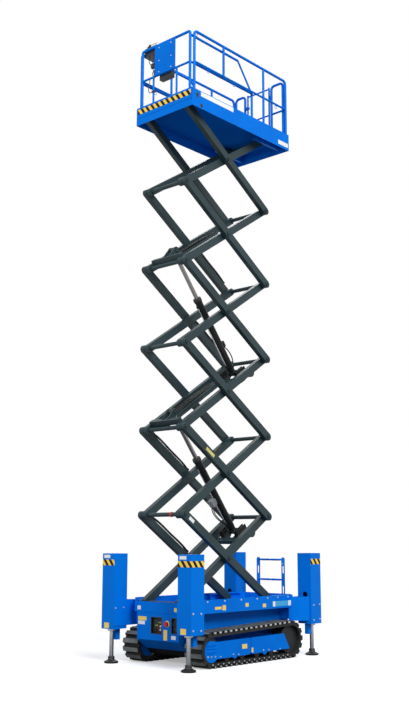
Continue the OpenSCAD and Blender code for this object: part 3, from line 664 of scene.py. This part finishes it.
settle(block("control_board", *BOARD), "chassis", cast)
settle(block("control_display", *DISPLAY), "chassis", black_plastic)
for name, finish, y, z in LAMPS:
    marks = facing_front(BOARD_FACE, (y, z), (y + TWIN_LAMP[0], z + TWIN_LAMP[1]))
    settle(scatter("lamp_" + name, turned("lens", LENS_RINGS, 20), marks), "chassis", finish)
marks = facing_front(BOARD_FACE, *BUTTONS)
settle(scatter("control_buttons", turned("button", BUTTON_RINGS, 20), marks), "chassis", black_plastic)
marks = facing_front(BOARD_FACE, *KEYS)
settle(scatter("key_switches", turned("key", KEY_RINGS, 20), marks), "chassis", zinc)
settle(turned("charge_socket", SOCKET_RINGS, 28), "chassis", cast, stand((1, 0, 0), SOCKET_AT))
settle(block("socket_cap", *SOCKET_CAP), "chassis", black_plastic)
print("ground controls in place")

# %% [markdown]
# Round the emergency stop is a yellow disc, and a plain plug closes a hole in the band above it. Both are turned,
# because a rim that is drawn out in rings catches the light as a pressed one does.

# %% Stop disc and plug
stop_low, stop_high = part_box("emergency_stop")
DISC_RINGS = [(0.044, 0), (0.044, 0.003), (0.041, 0.005), (0.020, 0.005)]
PLUG_RINGS = [(0.024, 0), (0.024, 0.002), (0.021, 0.004), (0.012, 0.003)]
PLUG_AT = (BAND_FRONT, -0.002, 0.757)
settle(turned("stop_disc", DISC_RINGS, 40), "chassis", yellow_vinyl,
       stand((1, 0, 0), (FRONT, (stop_low[1] + stop_high[1]) / 2, (stop_low[2] + stop_high[2]) / 2)))
settle(turned("band_plug", PLUG_RINGS, 32), "chassis", blue, stand((1, 0, 0), PLUG_AT))
print("stop disc and plug")

# %% [markdown]
# The track covers are held by short rows of bolts, and each shoe is fixed by bolts along the edge of the belt.
# Pale plates on the ends and tips of the lugs are painted highlights, where light falls on them. Their places
# follow the loop of the belt. The round front of each cover has three pressed louvres.

# %% Track bolts and painted lug highlights
COVER_FACE = 0.724
COVER_PLATES = ((0.162, 0.266, 0.206, 0.266), (0.028, 0.066, 0.142, 0.206))
LOUVRES = [(0.800, 0.985, z, z + 0.013) for z in (0.205, 0.250, 0.295)]
LOUVRE_THICK = 0.010
COVER_BOLTS = ((0.971, 0.154), (0.899, 0.148), (0.822, 0.147), (0.718, 0.138), (0.452, 0.149), (0.344, 0.140),
               (-0.200, 0.152), (-0.316, 0.149), (-0.573, 0.142))
spots = [stand((0, sy, 0), (x, sy * COVER_FACE, z)) for sy in (1, -1) for x, z in COVER_BOLTS]
bolts("cover_bolts", 0.017, spots, "chassis")
IDLER = Vector((0.890, 0, 0.232))
SPROCKET = Vector((-0.842, 0, 0.258))
LUG_TALL = 0.034
LUGS = 16
BELT_FACE = 0.740
TRACK_MID = 0.590
slope = 2 * math.atan2(SPROCKET.z - IDLER.z, IDLER.x - SPROCKET.x)
normal = Vector((math.sin(slope), 0, math.cos(slope)))
top_front = IDLER + normal * (IDLER.z - LUG_TALL)
top_rear = top_front + Vector((-math.cos(slope), 0, math.sin(slope))) * (IDLER.x - SPROCKET.x)
ROUND_FRONT = (IDLER, 6, math.pi, slope - math.pi)
ROUND_REAR = (SPROCKET, 7, slope, -slope - math.pi)
LUG_END = ((-0.022, 0, 0.008), (0.022, 0.0014, 0.031), 0.0004)
LUG_TIP = ((-0.030, -0.146, 0.0332), (0.030, 0.146, 0.0348), 0.0005)
SHOE_BOLTS = ((0, 0.018), (0.054, 0.048))
# Pale plates on the belt's face at each lug end of the upper run: a painted highlight.
spots = []
for sy in (1, -1):
    for i in range(LUGS):
        at = top_front.lerp(top_rear, (i + 0.5) / LUGS)
        turn = Matrix.Translation((at.x, sy * BELT_FACE, at.z)) @ Matrix.Rotation(slope, 4, "Y")
        spots.append(turn if sy > 0 else turn @ Matrix.Rotation(math.pi, 4, "Z"))
settle(scatter("lug_end_highlights", block("lug_end", *LUG_END), spots), "chassis", lug_end_highlight_rubber)
# Grey plates on the lug tips along the upper run and round the wheels: a painted highlight.
spots = []
for sy in (1, -1):
    over = Matrix.Translation((0, sy * TRACK_MID, 0))
    for i in range(LUGS):
        at = top_front.lerp(top_rear, (i + 0.5) / LUGS)
        spots.append(over @ Matrix.Translation(at) @ Matrix.Rotation(slope, 4, "Y"))
    for wheel, count, first, sweep in (ROUND_FRONT, ROUND_REAR):
        for i in range(count):
            turn = Matrix.Rotation(first + sweep * (i + 0.5) / count, 4, "Y")
            spots.append(over @ Matrix.Translation(wheel) @ turn @ Matrix.Translation((0, 0, wheel.z - LUG_TALL)))
settle(scatter("lug_tip_highlights", block("lug_tip", *LUG_TIP), spots), "chassis", lug_highlight_rubber)
spots = []
for sy in (1, -1):
    for i in range(LUGS):
        x = IDLER.x - (IDLER.x - SPROCKET.x) * (i + 0.5) / LUGS
        spots += [stand((0, sy, 0), (x + dx, sy * BELT_FACE, z)) for dx, z in SHOE_BOLTS]
bolts("shoe_bolts", 0.016, spots, "chassis")
settle(joined("cover_plates", both_sides(COVER_FACE, COVER_PLATES)), "chassis", yellow_vinyl)
settle(joined("cover_louvres", both_sides(COVER_FACE, LOUVRES, LOUVRE_THICK)), "chassis", blue)
print("track details:", len(spots), "shoe bolts")

# %% [markdown]
# Inside the tub lie rubber stops for the folded arms and a valve block with hoses, close to the side wall where
# the arms don't reach. The stops are turned, the block is a row of boxes, and the hoses are swept through points.

# %% In the tub
TUB_FLOOR = 0.705
PAD_RINGS = [(0.034, 0), (0.034, 0.012), (0.028, 0.030), (0.022, 0.036)]
PADS = [(x, y, TUB_FLOOR) for x in (-0.55, 0.65) for y in (-0.32, 0.32)]
VALVE = ((0.10, 0.500, TUB_FLOOR), (0.34, 0.580, 0.782), 0.004)
COILS = [((x, 0.512, 0.780), (x + 0.036, 0.566, 0.832), 0.004) for x in (0.115, 0.165, 0.215, 0.265)]
LINE_RADIUS = 0.008
LINE_RUN = ((-0.05, 0.722), (-0.28, 0.720), (-0.42, 0.722))
# The port that each line leaves from, and how far out it then runs.
LINES = [((0.09, 0.52 + 0.02 * i, 0.74), 0.53 + 0.018 * i) for i in range(3)]
spots = [Matrix.Translation(at) for at in PADS]
settle(scatter("rubber_stops", turned("pad", PAD_RINGS, 28), spots), "chassis", pad_rubber)
valve = [block("valve", *VALVE)] + [block("coil", *coil) for coil in COILS]
settle(joined("valve_block", valve), "chassis", grey_cast)
lines = [hose("line", [port] + [(x, y, z) for x, z in LINE_RUN], LINE_RADIUS) for port, y in LINES]
settle(joined("tub_hoses", lines), "chassis", hose_rubber)
print("tub pieces in place")

# %% [markdown]
# At the rear, a service door closes the lower body behind the ladder. It is a shallow pressed plate: the front
# face is inset and pushed in. Two hinges and a turn handle hold it.

# %% Rear door
REAR = -1.205
DOOR_THICK = 0.006
DOOR_HALF = 0.200
DOOR_LOW = 0.450
DOOR_HIGH = 0.670
DOOR_FRAME = 0.030
DOOR_STEP = 0.006
DOOR_DEEP = 0.003
HINGES = [((REAR - 0.012, -0.196, z), (REAR - 0.004, -0.160, z + 0.040), 0.002) for z in (0.470, 0.610)]
HANDLE = ((REAR - 0.022, 0.130, 0.548), (REAR - DOOR_THICK, 0.158, 0.572), 0.004)
door = block("rear_door", (REAR - DOOR_THICK, -DOOR_HALF, DOOR_LOW), (REAR, DOOR_HALF, DOOR_HIGH), 0.0015)
for face in door.data.polygons:
    face.select = face.normal.x < -0.99 and face.area > 0.01
bpy.ops.object.mode_set(mode="EDIT")
bpy.ops.mesh.select_mode(type="FACE")
bpy.ops.mesh.inset(thickness=DOOR_FRAME, depth=0)
bpy.ops.mesh.inset(thickness=DOOR_STEP, depth=-DOOR_DEEP)
bpy.ops.object.mode_set(mode="OBJECT")
settle(door, "chassis", blue)
fittings = [block("hinge", *hinge) for hinge in HINGES] + [block("handle", *HANDLE)]
settle(joined("door_fittings", fittings), "chassis", zinc)
print("rear door")

# %% [markdown]
# The toe plate of the extension deck has the same tape along its face, with a narrow blue edge above it and a
# wider one below. It is one thin strip, as on the posts.

# %% Band on the toe plate
toe_low, toe_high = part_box("toe_plate")
TOE_BELOW = 0.057
TOE_ABOVE = 0.030
TOE_END = 0.02
band = on_front("toe_band", 1, toe_high[0], toe_low[1] + TOE_END, toe_high[1] - TOE_END, toe_low[2] + TOE_BELOW,
                toe_high[2] - TOE_ABOVE)
settle(band, "extension", tape_toe)
print("toe band", round(toe_high[2] - toe_low[2] - TOE_BELOW - TOE_ABOVE, 3), "m tall")

# %% [markdown]
# The left panel of the platform carries a long blank strip and a short one. At its front end are a hand hole and
# a round hole, both with a black rubber edging. The edging is a turned ring. A dark disc in each ring and a dark
# slot are painted shade for the openings.

# %% Strips and hand holes on the side panel
panel_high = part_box("platform_frame")[1]
PANEL_FACE = panel_high[1]
STRIPS = ((0.245, 0.985, panel_high[2] - 0.082, panel_high[2] - 0.010), (-1.125, -0.870, 7.925, 7.995))
EDGING_RINGS = [(0.030, 0), (0.030, 0.002), (0.027, 0.004), (0.023, 0.002), (0.023, 0)]
HOLE_SHADE_RINGS = [(0.0235, 0), (0.0235, 0.0008), (0.020, 0.0012)]
HOLES = ((1.062, 8.078), (0.972, 7.933))
HAND_SLOT_SHADE = ((1.052, PANEL_FACE, 8.020), (1.072, PANEL_FACE + 0.0012, 8.062), 0.0004)
strips = [on_side("strip", 1, PANEL_FACE, *limits) for limits in STRIPS]
settle(joined("panel_strips", strips), "platform", white_vinyl)
at = [stand((0, 1, 0), (x, PANEL_FACE, z)) for x, z in HOLES]
# The dark discs and the dark slot are painted shade for the openings, and the rings are real rubber edging.
edging = [scatter("rings", tube_ring("ring", EDGING_RINGS, 28), at),
          scatter("holes", turned("hole", HOLE_SHADE_RINGS, 28), at), block("slot", *HAND_SLOT_SHADE)]
settle(joined("panel_edging_and_hole_shade", edging), "platform", pad_rubber)
print("panel strips and holes")

# %% [markdown]
# Each guard rail post stands on a foot plate with two bolts. All feet are alike, so one plate and one bolt are
# modelled and copied to a list of places.

# %% Rail feet
FLOOR_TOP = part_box("platform_floor")[1][2]
RAIL_Y = 0.551
RAIL_POSTS = (-1.111, -0.531, 1.102)
FOOT_THICK = 0.008
FOOT = ((-0.045, -0.0205, 0), (0.045, 0.0205, FOOT_THICK), 0.002)
FOOT_BOLTS = (-0.034, 0.034)
feet = [(x, sy * RAIL_Y) for sy in (1, -1) for x in RAIL_POSTS]
spots = [Matrix.Translation((x, y, FLOOR_TOP)) for x, y in feet]
settle(scatter("rail_feet", block("foot", *FOOT), spots), "platform", blue)
spots = [Matrix.Translation((x + dx, y, FLOOR_TOP + FOOT_THICK)) for x, y in feet for dx in FOOT_BOLTS]
bolts("rail_bolts", 0.014, spots, "platform")
print("rail feet:", len(feet))

# %% [markdown]
# On the front control plate, bolts hold the tubes behind it. The console behind the rail has a joystick with a
# folded boot, a guard bar, push buttons and a red stop. The folds are rings that step in and out, and what stands
# on the sloping face is turned upright first and then tilted with it.

# %% Console
plate_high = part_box("control_plate")[1]
STICK = Vector((1.087, -0.400, 9.143))
TOP_EDGE = Vector((1.077, 0, 9.143))
LOW_EDGE = Vector((0.967, 0, 9.071))
SLOPE = Vector((-0.072, 0, 0.110)).normalized()
BOOT_RINGS = [(0.040, 0), (0.040, 0.004), (0.032, 0.008), (0.035, 0.013), (0.026, 0.017), (0.029, 0.022),
              (0.020, 0.027), (0.0135, 0.030)]
GRIP_RINGS = [(0.0135, 0.030), (0.019, 0.033), (0.020, 0.046), (0.017, 0.056), (0.009, 0.0605), (0.003, 0.0615)]
STOP_RINGS = [(0.010, 0), (0.010, 0.010), (0.022, 0.011), (0.024, 0.018), (0.020, 0.026), (0.010, 0.029)]
PLATE_BOLTS = [(y, z) for y in (-0.122, 0.129) for z in (8.635, 8.815, 9.030)]
SLOPE_BUTTONS = [(share, y) for share in (0.35, 0.65) for y in (-0.440, -0.405, -0.370, -0.335)]
SLOPE_STOP = (0.5, -0.265)
GUARD_RADIUS = 0.008
GUARD = ((1.10, -0.468, 9.140), (1.085, -0.468, 9.178), (1.08, -0.440, 9.190), (1.08, -0.260, 9.190),
         (1.085, -0.232, 9.178), (1.10, -0.232, 9.140))


def on_slope(share, y):
    """A place on the sloping face of the console, share of the way down."""
    return stand(SLOPE, TOP_EDGE.lerp(LOW_EDGE, share) + Vector((0, y, 0)))


bolts("plate_bolts", 0.013, facing_front(plate_high[0], *PLATE_BOLTS), "extension")
at = Matrix.Translation(STICK)
settle(turned("joystick_boot", BOOT_RINGS), "extension", pad_rubber, at)
settle(turned("joystick_grip", GRIP_RINGS), "extension", black_plastic, at)
settle(hose("guard_bar", GUARD, GUARD_RADIUS), "extension", zinc)
spots = [on_slope(share, y) for share, y in SLOPE_BUTTONS]
settle(scatter("console_buttons", turned("button", BUTTON_RINGS, 20), spots), "extension", zinc)
settle(turned("console_stop", STOP_RINGS, 28), "extension", red_plastic, on_slope(*SLOPE_STOP))
print("console dressed")

# %% [markdown]
# Cables leave the console from below in slack loops and run to plugs on the rail. Both ends are fixed to the
# extension, so they are plain hoses, drawn through a few points each.

# %% Console cables
CABLE_RADIUS = 0.006
LOOPS = (((1.06, -0.330, 8.998), (1.06, -0.360, 8.90), (1.07, -0.350, 8.80), (1.09, -0.300, 8.735),
          (1.12, -0.245, 8.70), (1.134, -0.205, 8.69)),
         ((1.03, -0.290, 8.998), (1.03, -0.280, 8.88), (1.05, -0.320, 8.79), (1.07, -0.350, 8.72),
          (1.10, -0.300, 8.65), (1.134, -0.225, 8.645)),
         ((1.08, -0.400, 8.998), (1.09, -0.410, 8.93), (1.08, -0.370, 8.85), (1.10, -0.310, 8.81),
          (1.125, -0.255, 8.83), (1.134, -0.205, 8.86)),
         ((1.138, -0.331, 8.590), (1.141, -0.345, 8.52), (1.142, -0.362, 8.45), (1.142, -0.352, 8.39),
          (1.141, -0.312, 8.358), (1.140, -0.270, 8.362)))
PLUGS = (((1.085, -0.335, 8.770), (1.130, -0.270, 8.845), 0.006),
         ((1.120, -0.262, 8.640), (1.140, -0.198, 8.705), 0.005),
         ((1.120, -0.284, 8.346), (1.156, -0.228, 8.378), 0.004))
cables = [hose("cable", points, CABLE_RADIUS) for points in LOOPS]
settle(joined("console_cables", cables), "extension", hose_rubber)
plugs = [block("plug", low, high, soften) for low, high, soften in PLUGS]
settle(joined("cable_plugs", plugs), "extension", black_plastic)
print("cables:", len(cables))

# %% [markdown]
# The document box has a lid with a lip and a small clasp. Both are softened blocks, because only the edges of so
# plain a moulding show.

# %% Document box lid
doc_low, doc_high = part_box("document_box")
LIP = 0.004
lid = block("document_lid", (doc_low[0] - LIP, doc_low[1] - LIP, doc_high[2] - LIP),
            (doc_high[0], doc_high[1] + LIP, doc_high[2] + 2 * LIP), 0.003)
clasp = block("clasp", (doc_low[0] - 2 * LIP, -0.045, doc_high[2] - 0.030),
              (doc_low[0] - 0.001, -0.009, doc_high[2]), 0.003)
settle(joined("document_lid", [lid, clasp]), "extension", black_plastic)
print("document box lid")

# %% [markdown]
# The gate has a latch with a lever on its free post. Anchor rings for harness lines hang on the rails; each is a
# closed loop of rings with a small clamp.

# %% Gate latch and anchor rings
MID_RAIL = 8.600
RING_DROP = 0.050
RING_PLACES = (-0.85, 0.20, 0.80)
ANCHOR_RINGS = [(0.026, -0.004), (0.030, 0), (0.026, 0.004), (0.022, 0)]
CLAMP = ((-0.010, -0.006, 0.020), (0.010, 0.006, 0.036), 0.002)
LATCH = ((-1.136, 0.190, 8.850), (-1.126, 0.238, 8.930), 0.003)
LEVER = ((-1.150, 0.204, 8.872), (-1.134, 0.222, 8.960), 0.004)
HOOK_RADIUS = 0.005
HOOK = ((1.045, 9.075), (1.040, 9.045), (1.050, 9.020), (1.035, 9.000), (1.022, 9.012))
settle(joined("gate_latch", [block("latch", *LATCH), block("lever", *LEVER)]), "gate", zinc)
ring = tube_ring("ring", ANCHOR_RINGS, 24)
ring.data.transform(Matrix.Rotation(math.pi / 2, 4, "X"))
anchor = joined("anchor", [ring, block("clamp", *CLAMP)])
spots = [Matrix.Translation((x, sy * RAIL_Y, MID_RAIL - RING_DROP)) for sy in (1, -1) for x in RING_PLACES]
settle(scatter("anchor_rings", anchor, spots), "platform", blue)
settle(hose("rail_hook", [(x, RAIL_Y, z) for x, z in HOOK], HOOK_RADIUS), "platform", cast)
print("latch, rings and hook")

# %% [markdown]
# Pins of the scissor stack are locked by a keeper plate and two bolts on the outside of each head. Their places
# are given along the arm, and the arm's own axes carry them into the machine, so one list serves every stage.

# %% Keeper plates and pin bolts
HEAD_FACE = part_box("inner_arms_2")[1][1]
KEEPER = 0.004
KEEPER_PLATE = ((-0.027, -0.009, 0), (0.027, 0.009, KEEPER), 0.001)
BOLT_APART = 0.016


def on_heads(k, ends, out, shift=0.0):
    """Places on the pin heads of inner arm k, out from their faces and shifted along the arm."""
    return [inner_frame[k] @ stand((0, sy, 0), (s + shift, sy * (HEAD_FACE + out), 0)) for s, sy in ends]


for k in stages:
    marks = [0.0, ARM_LONG / 2] + ([ARM_LONG] if k < 6 else [])
    ends = [(s, sy) for s in marks for sy in (1, -1)]
    keeper = block("keeper", *KEEPER_PLATE)
    settle(scatter("keepers_%d" % k, keeper, on_heads(k, ends, 0)), "inner_%d" % k, arm_paint)
    spots = on_heads(k, ends, KEEPER, -BOLT_APART) + on_heads(k, ends, KEEPER, BOLT_APART)
    settle(scatter("pin_bolts_%d" % k, bolt(0.011), spots), "inner_%d" % k, cast)
print("keepers on", len(stages), "stages")

# %% [markdown]
# Half of each far outer arm carries a hose, which stands a little above the upper edge of the arm between two
# end clips. It rides with its own arm, so it folds with the stack, and the stand-off fits the gap between two
# folded arms. The third stage has none, and neither has the top one, which folds against the platform.

# %% Hoses on the far arms
ARM_DEEP = 0.112
OUTER_INSIDE = 0.3785
HOSE_RADIUS = 0.016
STAND_OFF = 0.030
HOSE_RAMP = 0.13
HOSE_SPANS = {1: (1.14, 2.02), 2: (1.14, 2.02), 4: (0.16, 1.04), 5: (0.16, 1.04)}
edge = ARM_DEEP / 2
CLIP = ((-0.016, -0.018, edge), (0.016, 0.012, edge + 2 * HOSE_RADIUS + 0.003), 0.003)
for k, (start, end) in HOSE_SPANS.items():
    run = ((start, HOSE_RADIUS), (start + HOSE_RAMP, STAND_OFF), ((start + end) / 2, STAND_OFF),
           (end - HOSE_RAMP, STAND_OFF), (end, HOSE_RADIUS))
    points = [outer_frame[k] @ Vector((s, -OUTER_INSIDE, edge + rise)) for s, rise in run]
    line = hose("arm_hose_%d" % k, points, HOSE_RADIUS)
    settle(line, "outer_%d" % k, hose_rubber)
    marks = [outer_frame[k] @ Matrix.Translation((s, -OUTER_INSIDE, 0)) for s in (start, end)]
    settle(scatter("hose_clips_%d" % k, block("clip", *CLIP), marks), "outer_%d" % k, cast)
print("hoses on", len(HOSE_SPANS), "far arms")

# %% [markdown]
# Above each ram eye a tray of folded sheet carries the hose bundle along inner arms 3 and 5. The tray is a block
# whose upper face is inset and pushed down. It is fixed to the inside of the far arm, beside the ram.

# %% Hose trays
TRAY_LOW = (0.15, -0.2835, -0.012)
TRAY_HIGH = (1.50, -0.092, 0.030)
TRAY_WALL = 0.004
TRAY_DEEP = 0.036
TRAY_HOSES = 5
TRAY_HOSE_RADIUS = 0.009
FIRST_HOSE = -0.250
HOSE_APART = 0.032
# Along the arm, how far the hoses fan out from the middle one, and up.
TRAY_RUN = ((0.18, 0, 0.008), (0.50, 0.006, 0.022), (1.00, -0.004, 0.024), (1.48, 0, 0.008))
UP = 1 if (inner_frame[3].to_3x3() @ Vector((0, 0, 1))).z > 0 else -1


def tray_on(k):
    tray = cube("hose_tray_%d" % k, TRAY_LOW, TRAY_HIGH)
    for face in tray.data.polygons:
        face.select = face.normal.z * UP > 0.9
    bpy.ops.object.mode_set(mode="EDIT")
    bpy.ops.mesh.select_mode(type="FACE")
    bpy.ops.mesh.inset(thickness=TRAY_WALL, depth=0)
    bpy.ops.mesh.extrude_region_move(TRANSFORM_OT_translate={"value": (0, 0, -UP * TRAY_DEEP)})
    bpy.ops.object.mode_set(mode="OBJECT")
    return tray


for k in (3, 5):
    settle(tray_on(k), "inner_%d" % k, arm_paint, inner_frame[k])
    lines = []
    for n in range(TRAY_HOSES):
        y = FIRST_HOSE + HOSE_APART * n
        out = n - TRAY_HOSES // 2
        points = [inner_frame[k] @ Vector((s, y + fan * out, rise * UP)) for s, fan, rise in TRAY_RUN]
        lines.append(hose("hose", points, TRAY_HOSE_RADIUS))
    settle(joined("tray_hoses_%d" % k, lines), "inner_%d" % k, hose_rubber)
print("two trays with hoses")

# %% [markdown]
# Where a ram stands on its arms, each arm has a round lug under its lower edge that takes the pin of the cross
# beam. It is a turned disc as wide as the arm, set low, so that only its lower part shows. Four upright gussets
# stiffen the beam on both sides of the ram.

# %% Lugs under the ram bases
RAM_BASE = 1.80
INNER_MID = 0.3205
LUG_HALF = 0.037
LUG_DROP = 0.028
LUG_RINGS = [(0.066, -LUG_HALF), (0.070, 0.004 - LUG_HALF), (0.070, LUG_HALF - 0.004), (0.066, LUG_HALF),
             (0.020, LUG_HALF)]
GUSSET = ((-0.120, -0.006, -0.052), (0.120, 0.006, 0.075), 0.003)
GUSSETS = (-0.165, -0.115, 0.115, 0.165)
for k in (1, 3):
    spots = [inner_frame[k] @ stand((0, 1, 0), (RAM_BASE, sy * INNER_MID, LUG_DROP)) for sy in (1, -1)]
    lugs = scatter("base_lugs_%d" % k, turned("lug", LUG_RINGS, 40), spots)
    settle(lugs, "inner_%d" % k, arm_paint)
    spots = [inner_frame[k] @ Matrix.Translation((RAM_BASE, y, 0)) for y in GUSSETS]
    gussets = scatter("base_gussets_%d" % k, block("gusset", *GUSSET), spots)
    settle(gussets, "inner_%d" % k, ram_paint)
print("lugs and gussets at two ram bases")

# %% [markdown]
# Two blank plates are stuck on the near outer arms, and a red sleeve marks the cross tube of the second stage.
# Both are made in the arm's own axes, where they are square, and then put in their place.

# %% Plates and sleeve on the arms
OUTER_FACE = 0.440
HALF_TALL = 0.024
ARM_PLATES = ((2, 1.49, 1.69, faded_vinyl), (1, 1.99, 2.10, white_vinyl))
MARK_RINGS = [(0.0305, 0), (0.0345, 0.002), (0.0345, 0.032), (0.0305, 0.034)]
MARK_AT = (0, 0.150, 0)
for k, low, high, finish in ARM_PLATES:
    plate = block("arm_plate_%d" % k, (low, OUTER_FACE, -HALF_TALL), (high, OUTER_FACE + TAPE, HALF_TALL), 0.0003)
    settle(plate, "outer_%d" % k, finish, outer_frame[k])
sleeve = tube_ring("cross_sleeve", MARK_RINGS, 32)
settle(sleeve, "inner_2", red_plastic, inner_frame[2] @ stand((0, 1, 0), MARK_AT))
print("arm plates and sleeve")

# %% [markdown]
# A ram rod is ground chrome over its stroke, and its eye is painted black. The finish changes at a set distance
# along the rod's axis, so one step in the nodes divides the two.

# %% Ram rods
EYE_LONG = 0.058
EYE_PIN = Vector((0.280, 0, -0.123))


def rod_finish(name, axis, limit):
    """Chrome along the rod, and black paint on its eye, past limit along axis."""
    material, tree, place = new_material(name)
    along = add(tree, "ShaderNodeVectorMath", {0: place, 1: axis}, operation="DOT_PRODUCT")
    eye = add(tree, "ShaderNodeMath", {0: along.outputs["Value"], 1: limit}, operation="GREATER_THAN")
    bare = add(tree, "ShaderNodeMath", {0: 1.0, 1: eye.outputs[0]}, operation="SUBTRACT")
    gloss = add(tree, "ShaderNodeMapRange", {"Value": eye.outputs[0], "To Min": 0.24, "To Max": 0.45})
    colour = add(tree, "ShaderNodeMix", {"Factor": eye.outputs[0], "A": linear("#918F8E"), "B": linear("#16181A")},
                 data_type="RGBA")
    shader = add(tree, "ShaderNodeBsdfPrincipled",
                 {"Base Color": colour.outputs["Result"], "Metallic": bare.outputs[0], "Roughness": gloss.outputs[0]})
    add(tree, "ShaderNodeOutputMaterial", {"Surface": shader.outputs[0]})
    return material


for name, k in (("lower", 1), ("upper", 3)):
    axis = Vector(joints["ram_%s_slide" % name]["axis"]).normalized()
    limit = (inner_frame[k + 2] @ EYE_PIN).dot(axis) - EYE_LONG
    coat(frame["nodes"]["ram_rod_" + name], rod_finish("chromed ram rod, " + name, axis, limit))
print("two ram rods")

# %% [markdown]
# Each ram has a steel pipe along its barrel, two port blocks and a round gland nut at the rod end. The
# lower ram also carries a lowering valve, a grey block with a red cap, and a slack hose loop to its base. The upper
# ram has a black lock valve and one hose on its other side.

# %% Ram fittings
BARREL = 0.055
BARREL_LONG = 1.317
PIPE_OUT = BARREL + 0.010
NUT_RINGS = [(radius, BARREL_LONG + along) for radius, along in
             ((0.061, -0.044), (0.064, -0.040), (0.064, -0.012), (0.060, 0.006), (0.036, 0.006), (0.036, -0.044))]
PIPE = ((0.16, 0, BARREL), (0.19, 0, PIPE_OUT), (0.70, 0, PIPE_OUT), (1.17, 0, PIPE_OUT), (1.20, 0, BARREL))
PORTS = [((s - 0.022, s + 0.022), 0.020, (BARREL - 0.006, BARREL + 0.020), 0.003) for s in (0.15, 1.20)]
VALVE_BODY = ((0.555, 0.660), 0.045, (0.072, 0.160), 0.005)
VALVE_BRACKET = ((0.580, 0.636), 0.030, (0.050, 0.074), 0.002)
LOCK_BODY = ((0.430, 0.525), 0.034, (0.050, 0.100), 0.004)
CAP_RINGS = [(0.016, 0), (0.016, 0.020), (0.012, 0.030), (0.006, 0.034)]
VALVE_LOOP = ((0.565, -0.025, 0.135), (0.49, -0.03, 0.165), (0.36, -0.02, 0.160), (0.24, 0, 0.115), (0.16, 0, 0.072))
LOCK_LOOP = ((0.440, 0, 0.080), (0.34, 0, 0.125), (0.22, 0, 0.140), (0.12, 0, 0.105), (0.07, 0, 0.058))


def ram_line(name, ram, way, points, radius):
    """A hose beside a ram; way is the sign of the side that its points stand on."""
    return hose(name, [ram @ Vector((x, y, way * z)) for x, y, z in points], radius)


def ram_block(name, ram, way, along, half, out, soften):
    """A block on a ram, between two places along it and two distances from its axis."""
    low, high = sorted((way * out[0], way * out[1]))
    piece = block(name, (along[0], -half, low), (along[1], half, high), soften)
    piece.data.transform(ram)
    return piece


for name in ("lower", "upper"):
    body = "ram_%s_barrel" % name
    base = pivot("ram_%s_swing" % name)
    aim = Vector(joints["ram_%s_slide" % name]["axis"]).normalized()
    ram = arm_frame(base, base + aim)
    below = -1 if (ram.to_3x3() @ Vector((0, 0, 1))).z > 0 else 1
    nut = tube_ring("gland_nut_" + name, NUT_RINGS, 32)
    settle(nut, body, cast, ram @ stand((1, 0, 0), (0, 0, 0)))
    settle(ram_line("ram_pipe_" + name, ram, below, PIPE, 0.007), body, zinc)
    ports = [ram_block("port", ram, below, *port) for port in PORTS]
    settle(joined("ram_ports_" + name, ports), body, ram_paint)
    if name == "lower":
        valve = [ram_block("valve", ram, below, *VALVE_BODY), ram_block("bracket", ram, below, *VALVE_BRACKET)]
        settle(joined("lowering_valve", valve), body, grey_cast)
        settle(turned("valve_cap", CAP_RINGS, 20), body, red_plastic,
               ram @ stand((-1, 0, 0), (0.556, 0.010, below * 0.118)))
        beside = [(x, y + 0.030, z) for x, y, z in VALVE_LOOP]
        loops = [ram_line("loop", ram, below, VALVE_LOOP, 0.008), ram_line("loop", ram, below, beside, 0.007)]
        settle(joined("valve_hoses", loops), body, hose_rubber)
    else:
        settle(ram_block("lock_valve", ram, -below, *LOCK_BODY), body, ram_paint)
        settle(ram_line("lock_hose", ram, -below, LOCK_LOOP, 0.009), body, hose_rubber)
print("rams dressed")

# %% [markdown]
# The ladder stiles are bolted to the body, and each rung has a ribbed sleeve so that a boot holds. The sleeve is
# turned with a groove every 12 mm.

# %% Ladder details
LADDER_X = -1.300
RUNG_TOP = 1.369
RUNG_STEP = 0.300
RUNG = 0.013
RIB = 0.006
STILE_OUT = 0.246
STILE_BOLTS = (0.795, 0.445, 1.31)
SLEEVE_STARTS = (-0.170, 0.020)
SLEEVE_RINGS = [(RUNG + (0.0012 if n % 2 else 0.003), RIB * n) for n in range(26)]
spots = [stand((0, 1, 0), (LADDER_X, y, RUNG_TOP - RUNG_STEP * i)) for i in range(4) for y in SLEEVE_STARTS]
settle(scatter("rung_sleeves", turned("sleeve", SLEEVE_RINGS, 16), spots), "chassis", blue)
spots = [stand((0, sy, 0), (LADDER_X + 0.020, sy * STILE_OUT, z)) for sy in (1, -1) for z in STILE_BOLTS]
bolts("ladder_bolts", 0.014, spots, "chassis")
print("ladder dressed")
